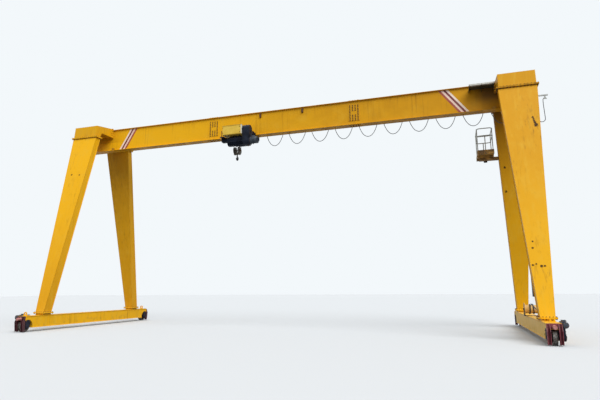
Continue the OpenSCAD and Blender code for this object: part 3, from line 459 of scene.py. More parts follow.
# the cage pan's dark brown is partly dirt, partly painted shade
panBrown = machineEnamel("cage pan enamel", "76562c", "cf9f4c", "a08a62", greasy=0.4)
stopOchre = machineEnamel("stop enamel", "a4761c", "b98822", "8a6a38", greasy=0.2)
treadSteel = bareSteel("tread steel", "74726e", "45433f", "4a2c16", 0.5)
boltSteel = bareSteel("bolt steel", "5a4a38", "38291e", "6a3a1a", 0.8, 0.5, 0.6)
ochreBolts = bareSteel("painted bolts", "a87422", "8a5c1a", "5c3414", 0.45, 0.5, 0.1)
zinc = bareSteel("zinc tube", "a3a39c", "85857d", "6e5a40", 0.15, 0.45, 0.7)
railZinc = bareSteel("zinc rail", "a5a7a4", "8a8c88", "6e5a40", 0.1, 0.42, 0.75)
plateSteel = bareSteel("tread plate", "48432f", "302c1e", "4a3018", 0.3, 0.55, 0.3)
skirtSteel = bareSteel("platform edge", "d2d2cb", "b4b3aa", "5e3a1c", 0.1, 0.5, 0.15)
carrierSteel = bareSteel("carrier steel", "3a3f45", "262a2f", "51361f", 0.2, 0.45, 0.5)
blockPaint = bareSteel("block plates", "8a8475", "5d584c", "3b2a1b", 0.35, 0.5, 0.35)
forged = bareSteel("forged hook", "26272a", "17181a", "3a2415", 0.25, 0.45, 0.6)
ropeWire = bareSteel("rope wire", "7b7a74", "4a4944", "3f2f20", 0.2, 0.45, 0.7)
cableSheath = rubberSkin("cable sheath", "34383d", "4b5056", 0.6)
powerSheath = rubberSkin("power cable sheath", "1b1c1e", "2a2c2e", 0.6)
bufferRubber = rubberSkin("buffer rubber", "a8625c", "bd837c", 0.75)
blackRubber = rubberSkin("black rubber", "16171a", "26282b", 0.7)
stripeRed = machineEnamel("stripe red", "a04a38", "b05c46", "9a705c", greasy=0.2)
stripeMaroon = machineEnamel("stripe maroon", "6e2c30", "7f3c3e", "8a6c5c", greasy=0.2)
stripeWhite = machineEnamel("stripe white", "f0dccb", "fae8d8", "c8b49c", greasy=0.1)
stripePink = machineEnamel("stripe pink", "eccabb", "f4d8ca", "c0a898", greasy=0.1)
paleStrip = machineEnamel("pale edge", "dedac6", "eae6d4", "b0aa9c")
lampGlass = Finish("lamp glass", 0.12, gloss=0.6)
lampGlass.colour(lampGlass.layered("aab2b6", [(lampGlass.cells(0.012).rise(0.1, 0.5), "d8dde0")]))
lampGlass.bump(lampGlass.cells(0.012), 0.001)


def atCorners(kind):
    return " ".join(f"{kind}_{end}_{side}" for end in ("left", "right") for side in ("near", "far"))


finishOf = {
    yellow: ("girder_left girder_middle girder_right splice_plates saddle_left saddle_right"
             " sill_left sill_right lifting_lugs " + atCorners("leg")),
    reelCream: "cable_reel",
    panBrown: "service_cage_floor cage_bracket",
    darkEnamel: "axle_boxes drive_gearboxes floodlight hoist_gearbox counterweight",
    drumEnamel: "trolley_frame hoist_drum",
    stopOchre: "trolley_stops",
    motorEnamel: "drive_motors hoist_motor",
    treadSteel: "trolley_wheels hook_sheaves " + atCorners("wheel"),
    maroon: "rail_guards",
    bufferRubber: "buffers",
    zinc: "service_cage_rail",
    railZinc: "festoon_rail",
    plateSteel: "end_platform reel_stand",
    cabinetEnamel: "control_cabinet",
    cableSheath: "festoon_cable",
    powerSheath: "riser_cable",
    carrierSteel: " ".join(f"carrier_{i}" for i in range(1, 11)),
    boxYellow: "control_box",
    ropeWire: "hoist_rope",
    blockPaint: "hook_block",
    forged: "hook",
}
for finish, names in finishOf.items():
    for name in names.split():
        nodes[name].data.materials.clear()
        nodes[name].data.materials.append(finish.material)
print("finishes set on", len(nodes), "nodes")


# cords
def cordPiece(name, node, path, r, sides, finish, ends=None):
    # with ends, the cord is left without a body
    shape = Shape()
    shape.tube(path, r, sides)
    made = shape.piece(name, None if ends else "crane", "cable_sheath", finish)
    if ends:
        final = [v.co.copy() for v in made.data.vertices]
        for i, v in enumerate(made.data.vertices):
            v.co = path[i // sides]
        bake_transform(made)
        for v, co in zip(made.data.vertices, final):
            v.co = co
    length = sum((b - a).length for a, b in zip(path, path[1:]))
    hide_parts(node)


def unsmooth(w):
    # where a smooth step from 0 to 1 has the value w
    return 0.5 - math.sin(math.asin(1 - 2 * w) / 3)


festoon = {
    "towX": -0.85, "pitch": 0.919, "carriers": 10, "clampIn": 8.96, "clampOut": 9.26, "closing": 0.094224,
    "y": 0.3, "top": 7.611975, "fromSaddle": 0.059189, "depth": 0.685, "lastDepth": 0.772, "endFall": 0.681,
    "bulge": 0.012, "radius": 0.011, "stub": 0.008, "lean": math.radians(78),
    "half": [(0, 0), (0.015, 0.081), (0.04, 0.204), (0.08, 0.372), (0.13, 0.543), (0.2, 0.722), (0.28, 0.861),
             (0.38, 0.961)],
}
loopShape = festoon["half"] + [(0.5, 1)] + [(1 - a, b) for a, b in reversed(festoon["half"])]
stubStep = (festoon["stub"] * math.cos(festoon["lean"]), festoon["stub"] * math.sin(festoon["lean"]))


def hangingLoop(x0, x1, depth):
    route = [(x0, 0), (x0 + stubStep[0], stubStep[1])]
    route += [(x0 + a * (x1 - x0), b * depth) for a, b in loopShape[1:-1]]
    return route + [(x1 - stubStep[0], stubStep[1]), (x1, 0)]


def narrowLoop(x0, x1):
    # two long falls that spread a little, and a round bottom
    fall, bulge = festoon["endFall"], festoon["bulge"]
    side = [(0, 0), stubStep, (0.0045, 0.03), (0.0065, 0.07), (0.0065, 0.15), (0.001, 0.45 * fall),
            (-0.006, 0.7 * fall), (-0.0105, 0.88 * fall), (-bulge, fall)]
    r, middle = (x1 - x0) / 2 + bulge, (x0 + x1) / 2
    turns = [math.radians(18 * k) for k in range(1, 10)]
    bottom = [(middle - r * math.cos(a), fall + r * math.sin(a)) for a in turns]
    return [(x0 + a, b) for a, b in side] + bottom + [(x1 - a, b) for a, b in reversed(side)]


count = festoon["carriers"]
saddlesAt = [festoon["towX"] + i * festoon["pitch"] for i in range(count + 1)]
saddlesAt += [festoon["clampIn"], festoon["clampOut"]]
shares = [1 - festoon["closing"] * i for i in range(count + 1)] + [0, 0]
for i in range(len(saddlesAt) - 1):
    x0, x1 = saddlesAt[i] + festoon["fromSaddle"], saddlesAt[i + 1] - festoon["fromSaddle"]
    depth = festoon["depth"] if i < count else festoon["lastDepth"]
    route = hangingLoop(x0, x1, depth) if shares[i] else narrowLoop(x0, x1)
    path = flow([(x, festoon["y"], festoon["top"] - drop) for x, drop in route], 3)
    ends = None
    if shares[i]:
        a, b = unsmooth(shares[i + 1]), unsmooth(shares[i])
        whole = (x0 - x1) / (b - a)
        start = x1 - a * whole
        ends = ("crane", "trolley", (start, 0, 0), (start + whole, 0, 0))
    cordPiece(f"festoon_loop_{i + 1}", "festoon_cable", path, festoon["radius"], 12, cableSheath,
              ends)

riser = {
    "x": 8.21, "radius": 0.016,
    "route": [(-1.9, 1.15), (-1.9, 1.08), (-1.894, 1.01), (-1.876, 0.945), (-1.842, 0.888),
              (-1.792, 0.842), (-1.722, 0.808), (-1.632, 0.786), (-1.522, 0.774), (-1.392, 0.77),
              (-1.242, 0.774), (-1.082, 0.786), (-0.912, 0.805), (-0.742, 0.828), (-0.572, 0.852),
              (-0.412, 0.874), (-0.262, 0.89), (-0.16, 0.896), (-0.1, 0.897)],
}
path = flow([(riser["x"], y, z) for y, z in riser["route"]], 2)
cordPiece("power_cable", "riser_cable", path, riser["radius"], 14, powerSheath)
print("cords made:", len(saddlesAt))

# hoist ropes: four falls between the trolley and the block
rope = {"x": -1.86, "dx": 0.092, "dy": 0.1447, "top": 7.01, "bottom": 6.775, "radius": 0.006}
ropes = Shape()
for dx in (-rope["dx"], rope["dx"]):
    for dy in (-rope["dy"], rope["dy"]):
        rings = []
        for k in range(31):
            z = rope["bottom"] + (rope["top"] - rope["bottom"]) * k / 30
            # six strands that wind round the fall
            rings.append([onRing((rope["x"] + dx, dy, z), down,
                                 rope["radius"] * (0.92 + 0.08 * math.cos(6 * (a - z * 60))), a)
                          for a in turnOf(24)])
        ropes.loft(rings)
ropePiece = ropes.piece("hoist_rope_falls", None, "rope_wire", ropeWire, 60)
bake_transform(ropePiece)
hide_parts("hoist_rope")
arcs = Shape()
for dx in (-rope["dx"], rope["dx"]):
    arcs.tube([onRing((rope["x"] + dx, 0, rope["bottom"]), alongX, rope["dy"], -math.pi * k / 32)
               for k in range(33)], rope["radius"] * 0.97, 12)
arcs.piece("hoist_rope_bights", "hook_block", "rope_wire", ropeWire, 60)
print("hoist ropes made")

# structure: bolts, welds, marks
legs = {"topZ": 7.6, "footZ": 0.642, "topWidth": 1.14, "footWidth": 0.361, "topDepth": 0.25,
        "footDepth": 0.37, "topY": 1.03, "footY": 2.52, "lip": 0.014, "cover": 0.012}


def legShape(z):
    # width along the girder, depth along the rail and middle of a leg at a height
    t = (legs["topZ"] - z) / (legs["topZ"] - legs["footZ"])
    return (legs["topWidth"] + (legs["footWidth"] - legs["topWidth"]) * t,
            legs["topDepth"] + (legs["footDepth"] - legs["topDepth"]) * t,
            legs["topY"] + (legs["footY"] - legs["topY"]) * t)


girder = {"end": 8.83, "splice": 2.855, "boltSize": 0.026, "rows": 10, "rowPitch": 0.0622, "firstRow": 7.467,
          "top": 8.214, "under": 7.28}
seat = {"top": 7.644, "under": 7.6, "footTop": 0.642, "footUnder": 0.598}  # faces of the bolted leg joints
splices = Shape()
for x0 in (-girder["splice"], girder["splice"]):
    for side in sides:
        for dx in (-0.15, -0.05, 0.05, 0.15):
            for k in range(girder["rows"]):
                if abs(dx) > 0.1 or k not in (4, 5):
                    spot = (x0 + dx, side * 0.125, girder["firstRow"] + k * girder["rowPitch"])
                    splices.bolt(spot, (0, side, 0), girder["boltSize"])
            for y in (0.045, 0.13):
                splices.bolt((x0 + dx, side * y, girder["top"]), (0, 0, 1), girder["boltSize"])
            for y in (0.03, 0.085):
                splices.bolt((x0 + dx, side * y, girder["under"]), down, 0.022)
splices.piece("splice_bolts", "crane", "worn_steel", boltSteel)

joints = Shape()
for x0 in (-girder["splice"], girder["splice"]):
    for side in sides:
        for near, far, z0, z1 in ((0.114, 0.1156, 7.3045, 7.436), (0.114, 0.1156, 8.058, 8.1895),
                                  (0.174, 0.1757, 7.29, 7.304), (0.174, 0.1757, 8.19, 8.204)):
            y0, y1 = sorted((side * near, side * far))
            joints.block((x0 - 0.002, y0, z0), (x0 + 0.002, y1, z1), 0.0004)
joints.piece("girder_joint_lines", "crane", "worn_steel", boltSteel)

welds = Shape()


def seamAlongX(x, half, y, z, out, up, size, step):
    welds.seam((x - half, y, z), (x + half, y, z), (0, out, 0), (0, 0, up), size, step)


def seamAlongY(x, y0, y1, z, out, up, size, step):
    welds.seam((x, y0, z), (x, y1, z), (out, 0, 0), (0, 0, up), size, step)


for side in sides:
    for x, half in ((-5.863, 2.963), (0, 2.8), (5.863, 2.963)):
        seamAlongX(x, half, side * 0.115, 7.304, side, 1, 0.009, 0.16)
        seamAlongX(x, half, side * 0.115, 8.19, side, -1, 0.009, 0.16)
    for end in sides:
        for across in sides:
            for face in sides:
                line = []
                for z in (legs["footZ"], legs["topZ"]):
                    width, depth, middle = legShape(z)
                    line.append((end * rail + across * (width / 2 - legs["lip"]),
                                 side * (middle + face * (depth / 2 - legs["cover"])), z))
                welds.seam(line[0], line[1], (across, 0, 0), (0, -side * face, 0), 0.008, 0.2)
            if side < 0:
                x = end * rail + across * 0.1655
                seamAlongY(x, -3.1, 3.1, 0.528, across, -1, 0.009, 0.16)
                seamAlongY(x, -3.1, 3.1, 0.152, across, 1, 0.009, 0.16)
        # round the feet, the saddles and the lugs
        for across in sides:
            x = end * rail + across * legs["footWidth"] / 2
            seamAlongY(x, side * 2.34, side * 2.7, seat["footTop"], across, 1, 0.01, 0.06)
            x = end * rail + across * 0.55
            seamAlongY(x, side * 0.91, side * 1.15, seat["top"], across, 1, 0.01, 0.06)
        seamAlongX(end * rail, 0.548, side * 1.155, seat["top"], side, 1, 0.01, 0.06)
        seamAlongX(end * rail, 0.57, side * 1.155, seat["under"], side, -1, 0.01, 0.06)
        for face in sides:
            seamAlongX(end * rail, 0.067, side * 3.3 + face * 0.0125, 0.54, face, 1, 0.009, 0.03)
            y = side * (legs["footY"] + face * 0.185)
            seamAlongX(end * rail, 0.18, y, seat["footTop"], side * face, 1, 0.01, 0.06)
welds.piece("weld_seams", "crane", "crane_paint", yellow, 60)
print("welds laid")

frameBolts = {"top": 0.026, "pad": 0.02, "foot": 0.024}
flanges = Shape()
for end, side in corners:
    x0 = end * rail
    coat = 0 if end > 0 else 1
    spots = [(x0 + dx, side * y) for y in (0.881, 1.179) for dx in evenly(-0.5, 0.5, 0.1)]
    spots += [(x0 + across * 0.594, side * y) for across in sides for y in evenly(0.881, 1.179, 0.1)]
    for x, y in spots:
        flanges.through((x, y, seat["top"]), (x, y, seat["under"]), (0, 0, 1), frameBolts["top"], coat)
    for across in sides:
        x = x0 + across * 0.574
        for z in evenly(7.865, 8.225, 0.09):
            flanges.through((x, side * 0.215, z), (x, side * 0.175, z), (0, side, 0), frameBolts["pad"], coat)
    spots = [(x0 + across * 0.2045, side * y) for across in sides for y in evenly(2.311, 2.729, 0.0836)]
    spots += [(x0 + dx, side * y) for y in (2.311, 2.729) for dx in (-0.12, -0.04, 0.04, 0.12)]
    for x, y in spots:
        flanges.through((x, y, seat["footTop"]), (x, y, seat["footUnder"]), (0, 0, 1), frameBolts["foot"])
flanges.piece("frame_bolts", "crane", "worn_steel", [boltSteel, ochreBolts])

# faded warning bands across the near web, leaning towards mid-span
bands = {"y": -0.115, "low": 7.314, "high": 8.18, "width": 0.085, "proud": 0.0012,
         "left": (-7.335, -6.81), "right": (6.84, 6.18)}
bandShape = Shape()
for key, turn in (("left", 1), ("right", -1)):
    foot, head = bands[key]
    for k in range(4):
        a, b = foot + turn * k * bands["width"], head + turn * k * bands["width"]
        c, d = a + turn * bands["width"], b + turn * bands["width"]
        outline = [(a, bands["y"], bands["low"]), (c, bands["y"], bands["low"]),
                   (d, bands["y"], bands["high"]), (b, bands["y"], bands["high"])]
        bandShape.plate(outline if turn > 0 else outline[::-1], (0, -bands["proud"], 0), k)
bandShape.piece("warning_bands", "crane", "guard_paint", [stripeWhite, stripeMaroon, stripePink, stripeRed])

ends = Shape()
for end in sides:
    x = end * girder["end"]
    xs = sorted((x - end * 0.001, x + end * 0.006))
    ends.block((xs[0], -0.118, 7.302), (xs[1], 0.118, 8.192), 0.002)
    for y in (-0.09, 0.09):
        for z in evenly(7.36, 8.13, 0.154):
            ends.bolt((x + end * 0.006, y, z), (end, 0, 0), 0.016, 1)
    for y in (-0.1, 0.1):
        ends.rod((end * 8.6, y, 8.203), (end * 8.6, y, 8.214), 0.03, 16, 0.003)
for x, z in ((-0.838, 8.1), (0.876, 8.1)):
    ends.block((x - 0.035, -0.165, z - 0.11), (x + 0.035, -0.114, z + 0.05), 0.004, 1)
    ends.bolt((x, -0.165, z - 0.05), (0, -1, 0), 0.018, 1)
ends.piece("girder_end_covers", "crane", "crane_paint", [yellow, boltSteel])
print("girder dressed")

# ground wheels, drives, guards
running = {"axleY": 3.33, "axleZ": 0.2, "boxFace": 0.174, "sunk": 0.0005}
caps = Shape()
for end, side in corners:
    for across in sides:
        if side < 0 and across == end:
            continue  # a gearbox covers this face
        out = (across, 0, 0)
        face = Vector((end * rail + across * running["boxFace"], side * running["axleY"], running["axleZ"]))
        caps.turned([(0, 0.06), (0.006, 0.06), (0.009, 0.056), (0.009, 0.03), (0.013, 0.026), (0.013, 0.0)],
                    face - Vector(out) * running["sunk"], out, 28)
        caps.boltRing(face, out, 0.072, turnOf(6, math.pi / 6), 0.012)
        caps.boltRing(face, out, 0.17, (0.35, 1.15, 1.99, 2.79), 0.018)
caps.piece("axle_caps", "crane", "dark_paint", [darkEnamel, boltSteel])


def fanGrille(shape, centre, outward, radius):
    u, v = aside(outward)
    c = Vector(centre)
    for share in (0.2, 0.4, 0.6, 0.8, 1.0):
        path = [c + share * radius * (math.cos(a) * u + math.sin(a) * v) for a in turnOf(32)]
        shape.tube(path, radius * 0.022, 6, closed=True)
    for a in turnOf(8):
        d = math.cos(a) * u + math.sin(a) * v
        shape.rod(c + 0.19 * radius * d, c + radius * d, radius * 0.02, 6)
    shape.turned([(-0.002, radius * 0.2), (0.003, radius * 0.2), (0.005, radius * 0.15)], c, outward, 16)


drive = {"x": 0.264, "y": -3.33, "z": 0.49, "face": 0.25, "low": 0.2, "cap": 0.266, "cowlEnd": -2.878}
drives = Shape()
for end in sides:
    out = (end, 0, 0)
    face = end * (rail + drive["face"])
    cap = end * (rail + drive["cap"])
    x = end * (rail + drive["x"])
    drives.boltRing((face, drive["y"], drive["low"]), out, 0.084,
                    [math.radians(190 + 160 * k / 7) for k in range(8)], 0.015)
    for dy in (-0.078, 0.078):
        for z in (0.27, 0.34):
            drives.bolt((face, drive["y"] + dy, z), out, 0.015, 1)
    drives.turned([(0, 0.052), (0.004, 0.052), (0.006, 0.047), (0.006, 0)],
                  (cap, drive["y"], drive["low"]), out, 28)
    drives.boltRing((cap + end * 0.0055, drive["y"], drive["low"]), out, 0.036, turnOf(6), 0.01)
    # input housing: its front cap, and the flange that carries the motor
    drives.turned([(-0.001, 0.07), (0.007, 0.07), (0.01, 0.065), (0.01, 0)], (x, -3.408, drive["z"]),
                  (0, -1, 0), 32)
    drives.boltRing((x, -3.4175, drive["z"]), (0, -1, 0), 0.055, turnOf(6, math.pi / 6), 0.013)
    drives.boltRing((x, -3.22, drive["z"]), (0, 1, 0), 0.0735, turnOf(8, math.pi / 8), 0.0095)
    fanGrille(drives, (x, drive["cowlEnd"] + 0.002, drive["z"]), (0, 1, 0), 0.066)
    for a in turnOf(3, math.pi / 2):
        d = Vector((math.cos(a), 0, math.sin(a)))
        drives.bolt(Vector((x, -2.91, drive["z"])) + d * 0.0755, d, 0.008, 1)
    drives.block((x - 0.049, -3.202, 0.593), (x + 0.049, -3.104, 0.604), 0.003)
    for dx in (-0.038, 0.038):
        for y in (-3.19, -3.116):
            drives.bolt((x + dx, y, 0.604), (0, 0, 1), 0.008, 1)
    drives.turned([(-0.002, 0.016), (0.012, 0.016), (0.015, 0.012), (0.026, 0.012), (0.029, 0.008)],
                  (x + end * 0.045, -3.153, 0.574), out, 6, 1)
    drives.tube([onRing((x, -3.04, 0.576), alongX, 0.014, a) for a in turnOf(20)], 0.004, 8, 1, closed=True)
    drives.turned([(-0.004, 0.012), (0.006, 0.012), (0.01, 0.009)], (x, -3.04, 0.56), (0, 0, 1), 12, 1)
    drives.turned([(-0.004, 0.013), (0.008, 0.013), (0.01, 0.009), (0.02, 0.009), (0.024, 0.005)],
                  (end * (rail + 0.212), drive["y"], 0.567), (0, 0, 1), 10, 1)
drives.piece("drive_fittings", "crane", "motor_paint", [motorEnamel, boltSteel])

guards = Shape()
for end, side in corners:
    out = (0, side, 0)
    for dx in (-0.09, -0.15, 0.09, 0.15):
        for z in (0.44, 0.5):
            guards.bolt((end * rail + dx, side * 3.454, z), out, 0.016)
    for a in turnOf(4, math.pi / 4):
        guards.turned([(0, 0.007), (0.004, 0.007), (0.005, 0.005)],
                      onRing((end * rail, side * 3.4795, 0.445), out, 0.0535, a), out, 8)
guards.piece("guard_bolts", "crane", "worn_steel", boltSteel)
print("running gear dressed")

# cable reel and cabinet
reel = {"x": 8.21, "y": -0.1, "z": 0.745, "half": 0.2, "packR": 0.1435, "cable": 0.016, "steps": 30}
wound, reelPlates, reelNuts = Shape(), Shape(), Shape()
for side in sides:
    out = (side, 0, 0)
    steps = reel["steps"]
    wound.tube([onRing((reel["x"] + side * (0.0335 + 0.0325 * k / steps), reel["y"], reel["z"]), out,
                       reel["packR"], 2 * math.pi * k / steps) for k in range(steps + 1)], reel["cable"], 9)
    hub = Vector((reel["x"] + side * reel["half"], reel["y"], reel["z"]))
    rim = hub - Vector(out) * 0.004
    reelPlates.tube([onRing(rim, out, 0.183, a) for a in turnOf(48)], 0.0075, 8, closed=True)
    for a in turnOf(6):
        reelPlates.rod(onRing(hub, out, 0.05, a), onRing(hub, out, 0.176, a), 0.0035, 8)
        reelPlates.bolt(onRing(hub - Vector(out) * 0.003, out, 0.155, a + 0.52), out, 0.0085, 1)
    reelNuts.nutOn(hub + Vector(out) * 0.018, out, [(0, 0.032), (0.004, 0.032), (0.006, 0.028)],
                   [(0.004, 0.028), (0.016, 0.028), (0.019, 0.022)], 18, 0)
    for y in (-0.075, 0.075):
        for x in (0.1, 0.17):
            reelNuts.bolt((reel["x"] + side * x, reel["y"] + y, 0.552), (0, 0, 1), 0.014)
wound.piece("wound_cable", "cable_reel", "cable_sheath", powerSheath, 60)
reelPlates.piece("reel_plate_ribs", "cable_reel", "crane_paint", [reelCream, boltSteel])
reelNuts.piece("reel_stand_nuts", "crane", "worn_steel", boltSteel)

box = Shape()
box.block((8.04, -1.995, 2.255), (8.46, -1.785, 2.268), 0.003)
box.plate([(8.04, -1.785, 2.268), (8.46, -1.785, 2.268), (8.46, -1.785, 2.24), (8.04, -1.785, 2.24)],
          (0, -0.004, 0))
for z in (1.28, 1.7, 2.12):
    box.rod((8.443, -1.797, z - 0.035), (8.443, -1.797, z + 0.035), 0.008, 12, 0.002)
for k in range(7):
    z = 1.27 + k * 0.022
    box.plate([(8.16, -1.8, z + 0.012), (8.34, -1.8, z + 0.012), (8.34, -1.792, z), (8.16, -1.792, z)],
              (0, 0, -0.0015))
box.block((8.085, -1.8005, 1.64), (8.115, -1.794, 1.78), 0.003, 1)
box.rod((8.1, -1.795, 1.74), (8.1, -1.778, 1.74), 0.008, 12, 0.002, 1)
box.block((8.094, -1.783, 1.66), (8.106, -1.775, 1.75), 0.003, 1)
for x in (8.09, 8.41):
    for z in (1.19, 2.22):
        box.bolt((x, -1.8, z), (0, 1, 0), 0.01, 1)
box.turned([(0, 0.03), (0.006, 0.03), (0.008, 0.026), (0.02, 0.026), (0.022, 0.023), (0.03, 0.0205),
            (0.055, 0.0172)], (8.21, -1.9, 1.1502), down, 20, 2)  # the power cable's gland
box.piece("cabinet_fittings", "crane", "dark_paint", [cabinetEnamel, boltSteel, blackRubber])
print("reel and cabinet dressed")


# cage, lamp and platform
def treads(shape, low, high, z, pitch):
    rows = int((high[1] - low[1]) / pitch)
    columns = int((high[0] - low[0]) / pitch)
    for i in range(columns):
        for k in range(rows):
            x = low[0] + (i + 0.5) * (high[0] - low[0]) / columns
            y = low[1] + (k + 0.5) * (high[1] - low[1]) / rows
            a = math.pi / 4 * (1 if (i + k) % 2 else 3)
            u, v = Vector((math.cos(a), math.sin(a), 0)), Vector((-math.sin(a), math.cos(a), 0))
            rings = []
            for share, lift in ((1.0, -0.0005), (0.62, 0.0022)):
                c, long, short = Vector((x, y, z + lift)), u * 0.019 * share, v * 0.0065 * share
                rings.append([c + long, c + short, c - long, c - short])
            shape.loft(rings)


cage = {"x0": 7.055, "x1": 7.615, "y0": 1.0005, "y1": 2.0505, "floor": 6.088, "top": 7.03, "mid": 6.76}
cageShape = Shape()
treads(cageShape, (7.075, 1.0205), (7.595, 2.0305), cage["floor"], 0.05)
posts = [(x, y) for x in (7.0801, 7.5901) for y in (1.1355, 1.9155)] + [(7.335, 1.0255), (7.335, 2.0255)]
for x, y in posts:
    cageShape.turned([(0, 0.03), (0.004, 0.03), (0.006, 0.027), (0.006, 0.02), (0.02, 0.0175)],
                     (x, y, cage["floor"]), (0, 0, 1), 20, 1)
    for z in (cage["mid"],) if x == 7.335 else (cage["mid"], cage["top"]):
        along = (1, 0, 0) if x == 7.335 else (0, 1, 0)
        for s in sides:
            spot = Vector((x, y, z)) + Vector(along) * 0.018 * s
            cageShape.turned([(-0.004, 0.0185), (-0.0025, 0.0205), (0.0025, 0.0205), (0.004, 0.0185)],
                             spot, along, 16, 1)
for x in (7.12, 7.335, 7.55):
    for y, out in ((cage["y0"], -1), (cage["y1"], 1)):
        cageShape.bolt((x, y, 6.17), (0, out, 0), 0.012, 2)
for y in (1.1, 1.4, 1.65, 1.95):
    for x, out in ((cage["x0"], -1), (cage["x1"], 1)):
        cageShape.bolt((x, y, 6.17), (out, 0, 0), 0.012, 2)
footMiddle = legShape(5.97)[2]  # the bracket's foot plate is centred on the leg there
for z in (5.948, 5.992):
    for dy in (-0.07, 0, 0.07):
        cageShape.bolt((rail - legShape(z)[0] / 2 + 0.014 - 0.016, footMiddle + dy, z), (-1, 0, 0), 0.016, 2)
cageShape.piece("cage_fittings", "crane", "tube_zinc", [panBrown, zinc, boltSteel])

lamp = {"x": 7.335, "y": 1.5255, "z": 5.935, "tilt": math.radians(-70)}
lampShape = Shape()


def lampPoint(x, forward, rise):
    c, s = math.cos(lamp["tilt"]), math.sin(lamp["tilt"])
    return (lamp["x"] + x, lamp["y"] + forward * c - rise * s, lamp["z"] + forward * s + rise * c)


front = [(-0.058, -0.054), (0.058, -0.054), (0.058, 0.054), (-0.058, 0.054)]
inner = [(-0.047, -0.043), (0.047, -0.043), (0.047, 0.043), (-0.047, 0.043)]
for k in range(4):
    a, b = front[k], front[(k + 1) % 4]
    c, d = inner[(k + 1) % 4], inner[k]
    near = [lampPoint(q[0], 0.039, q[1]) for q in (a, b, c, d)]
    far = [lampPoint(q[0], 0.048, q[1]) for q in (a, b, c, d)]
    lampShape.loft([near, far])
lampShape.loft([[lampPoint(q[0], f, q[1]) for q in inner] for f in (0.0415, 0.044)], 1)
for k in range(5):
    h = -0.028 + k * 0.014
    fin = ((-0.044, h - 0.0015), (0.044, h - 0.0015), (0.044, h + 0.0015), (-0.044, h + 0.0015))
    lampShape.loft([[lampPoint(q[0], f, q[1]) for q in fin] for f in (-0.047, -0.034)])
for s in sides:
    lampShape.turned([(0, 0.011), (0.004, 0.011), (0.007, 0.008), (0.012, 0.008), (0.014, 0.005)],
                     lampPoint(s * 0.055, 0, 0), (s, 0, 0), 12, 0)
lampShape.piece("floodlight_fittings", "crane", "dark_paint", [darkEnamel, lampGlass])

deck = Shape()
treads(deck, (6.86, -0.59), (7.655, -0.125), 8.082, 0.05)
for x in (6.875, 7.2575, 7.64):
    deck.bolt((x, -0.6, 8.055), (0, -1, 0), 0.014, 1)
for x in (6.95, 7.15, 7.37, 7.57):
    deck.bolt((x, -0.14, 8.082), (0, 0, 1), 0.014, 1)
deck.block((6.851, -0.6016, 8.036), (7.664, -0.5995, 8.0898), 0.0004, 2)
for x0, x1 in ((6.861, 7.252), (7.264, 7.654)):
    deck.block((x0, -0.5915, 8.0705), (x1, -0.42, 8.0745), 0.0006, 2)
deck.piece("platform_treads", "crane", "platform_plate", [plateSteel, boltSteel, skirtSteel])

railParts = Shape()
for x0, x1 in ((-7.934, -7.9295), (9.3495, 9.354)):
    railParts.block((x0, 0.278, 7.728), (x1, 0.322, 7.772), 0.001)
for x in (-4.9, -0.6, 3.6, 7.4):
    for y0, y1 in ((0.276, 0.2801), (0.3199, 0.324)):
        railParts.block((x - 0.07, y0, 7.735), (x + 0.07, y1, 7.768), 0.001)
    for dx in (-0.05, -0.02, 0.02, 0.05):
        railParts.bolt((x + dx, 0.324, 7.75), (0, 1, 0), 0.01, 1)
railParts.piece("festoon_rail_sleeves", "crane", "tube_zinc", [railZinc, boltSteel])
print("cage, platform and festoon rail dressed")

# trolley and hoist
trolley = {"x": -1.45, "wheelX": 0.31, "axleZ": 7.3663, "face": 0.201, "tieZ": 7.14}
truck = Shape()
for side in sides:
    out = (0, side, 0)
    for dx in (-trolley["wheelX"], trolley["wheelX"]):
        at = Vector((trolley["x"] + dx, side * trolley["face"], trolley["axleZ"]))
        truck.turned([(0, 0.045), (0.005, 0.045), (0.008, 0.041), (0.008, 0.0)], at, out, 28)
        truck.turned([(0, 0.03), (0.016, 0.03), (0.019, 0.024), (0.019, 0)],
                     at + Vector(out) * 0.008, out, 6, 1)
        truck.boltRing(at, out, 0.06, turnOf(4, math.pi / 4), 0.012)
    for x in (-1.8, -1.45, -1.1) if side > 0 else (-1.1,):
        truck.nutOn((x, side * trolley["face"], trolley["tieZ"]), out,
                    [(0, 0.036), (0.004, 0.036), (0.006, 0.032)],
                    [(0.005, 0.03), (0.022, 0.03), (0.025, 0.024)], 20)
for dx in (-rope["dx"], rope["dx"]):
    for dy in (-rope["dy"], rope["dy"]):
        truck.turned([(0, 0.02), (0.006, 0.02), (0.02, 0.017), (0.03, 0.011)],
                     (rope["x"] + dx, dy, rope["top"] + 0.0002), down, 16, 1)
truck.piece("trolley_nuts", "trolley", "dark_paint", [darkEnamel, boltSteel])

hoist = {"y": -0.5, "drumZ": 6.99, "drumLeft": -1.99, "gearLeft": -1.35, "gearRight": -1.08,
         "motorEnd": -0.796, "motorZ": 6.975}
body = Shape()
body.boltRing((hoist["drumLeft"], hoist["y"], hoist["drumZ"]), (-1, 0, 0), 0.15,
              [math.radians(22.5 + 45 * k) for k in (0, 3, 4, 5, 6, 7)], 0.016)
for a in (2.3, 3.4, 4.3, 5.2):  # tie rods along the drum's shell
    left = onRing((hoist["drumLeft"] + 0.004, hoist["y"], hoist["drumZ"]), alongX, 0.176, a)
    body.rod(left, (hoist["gearLeft"] - 0.001, left[1], left[2]), 0.009, 10, 0.002)
    body.bolt(left, (-1, 0, 0), 0.013, 1)
# gearbox cover: a proud plate that follows the housing, with bolts round it
crown, bowl = (-0.55, 7.41, 0.165), (-0.5, 6.99, 0.18)
lean = math.atan2(crown[1] - bowl[1], crown[0] - bowl[0])
half = math.acos((bowl[2] - crown[2]) / math.hypot(crown[0] - bowl[0], crown[1] - bowl[1]))


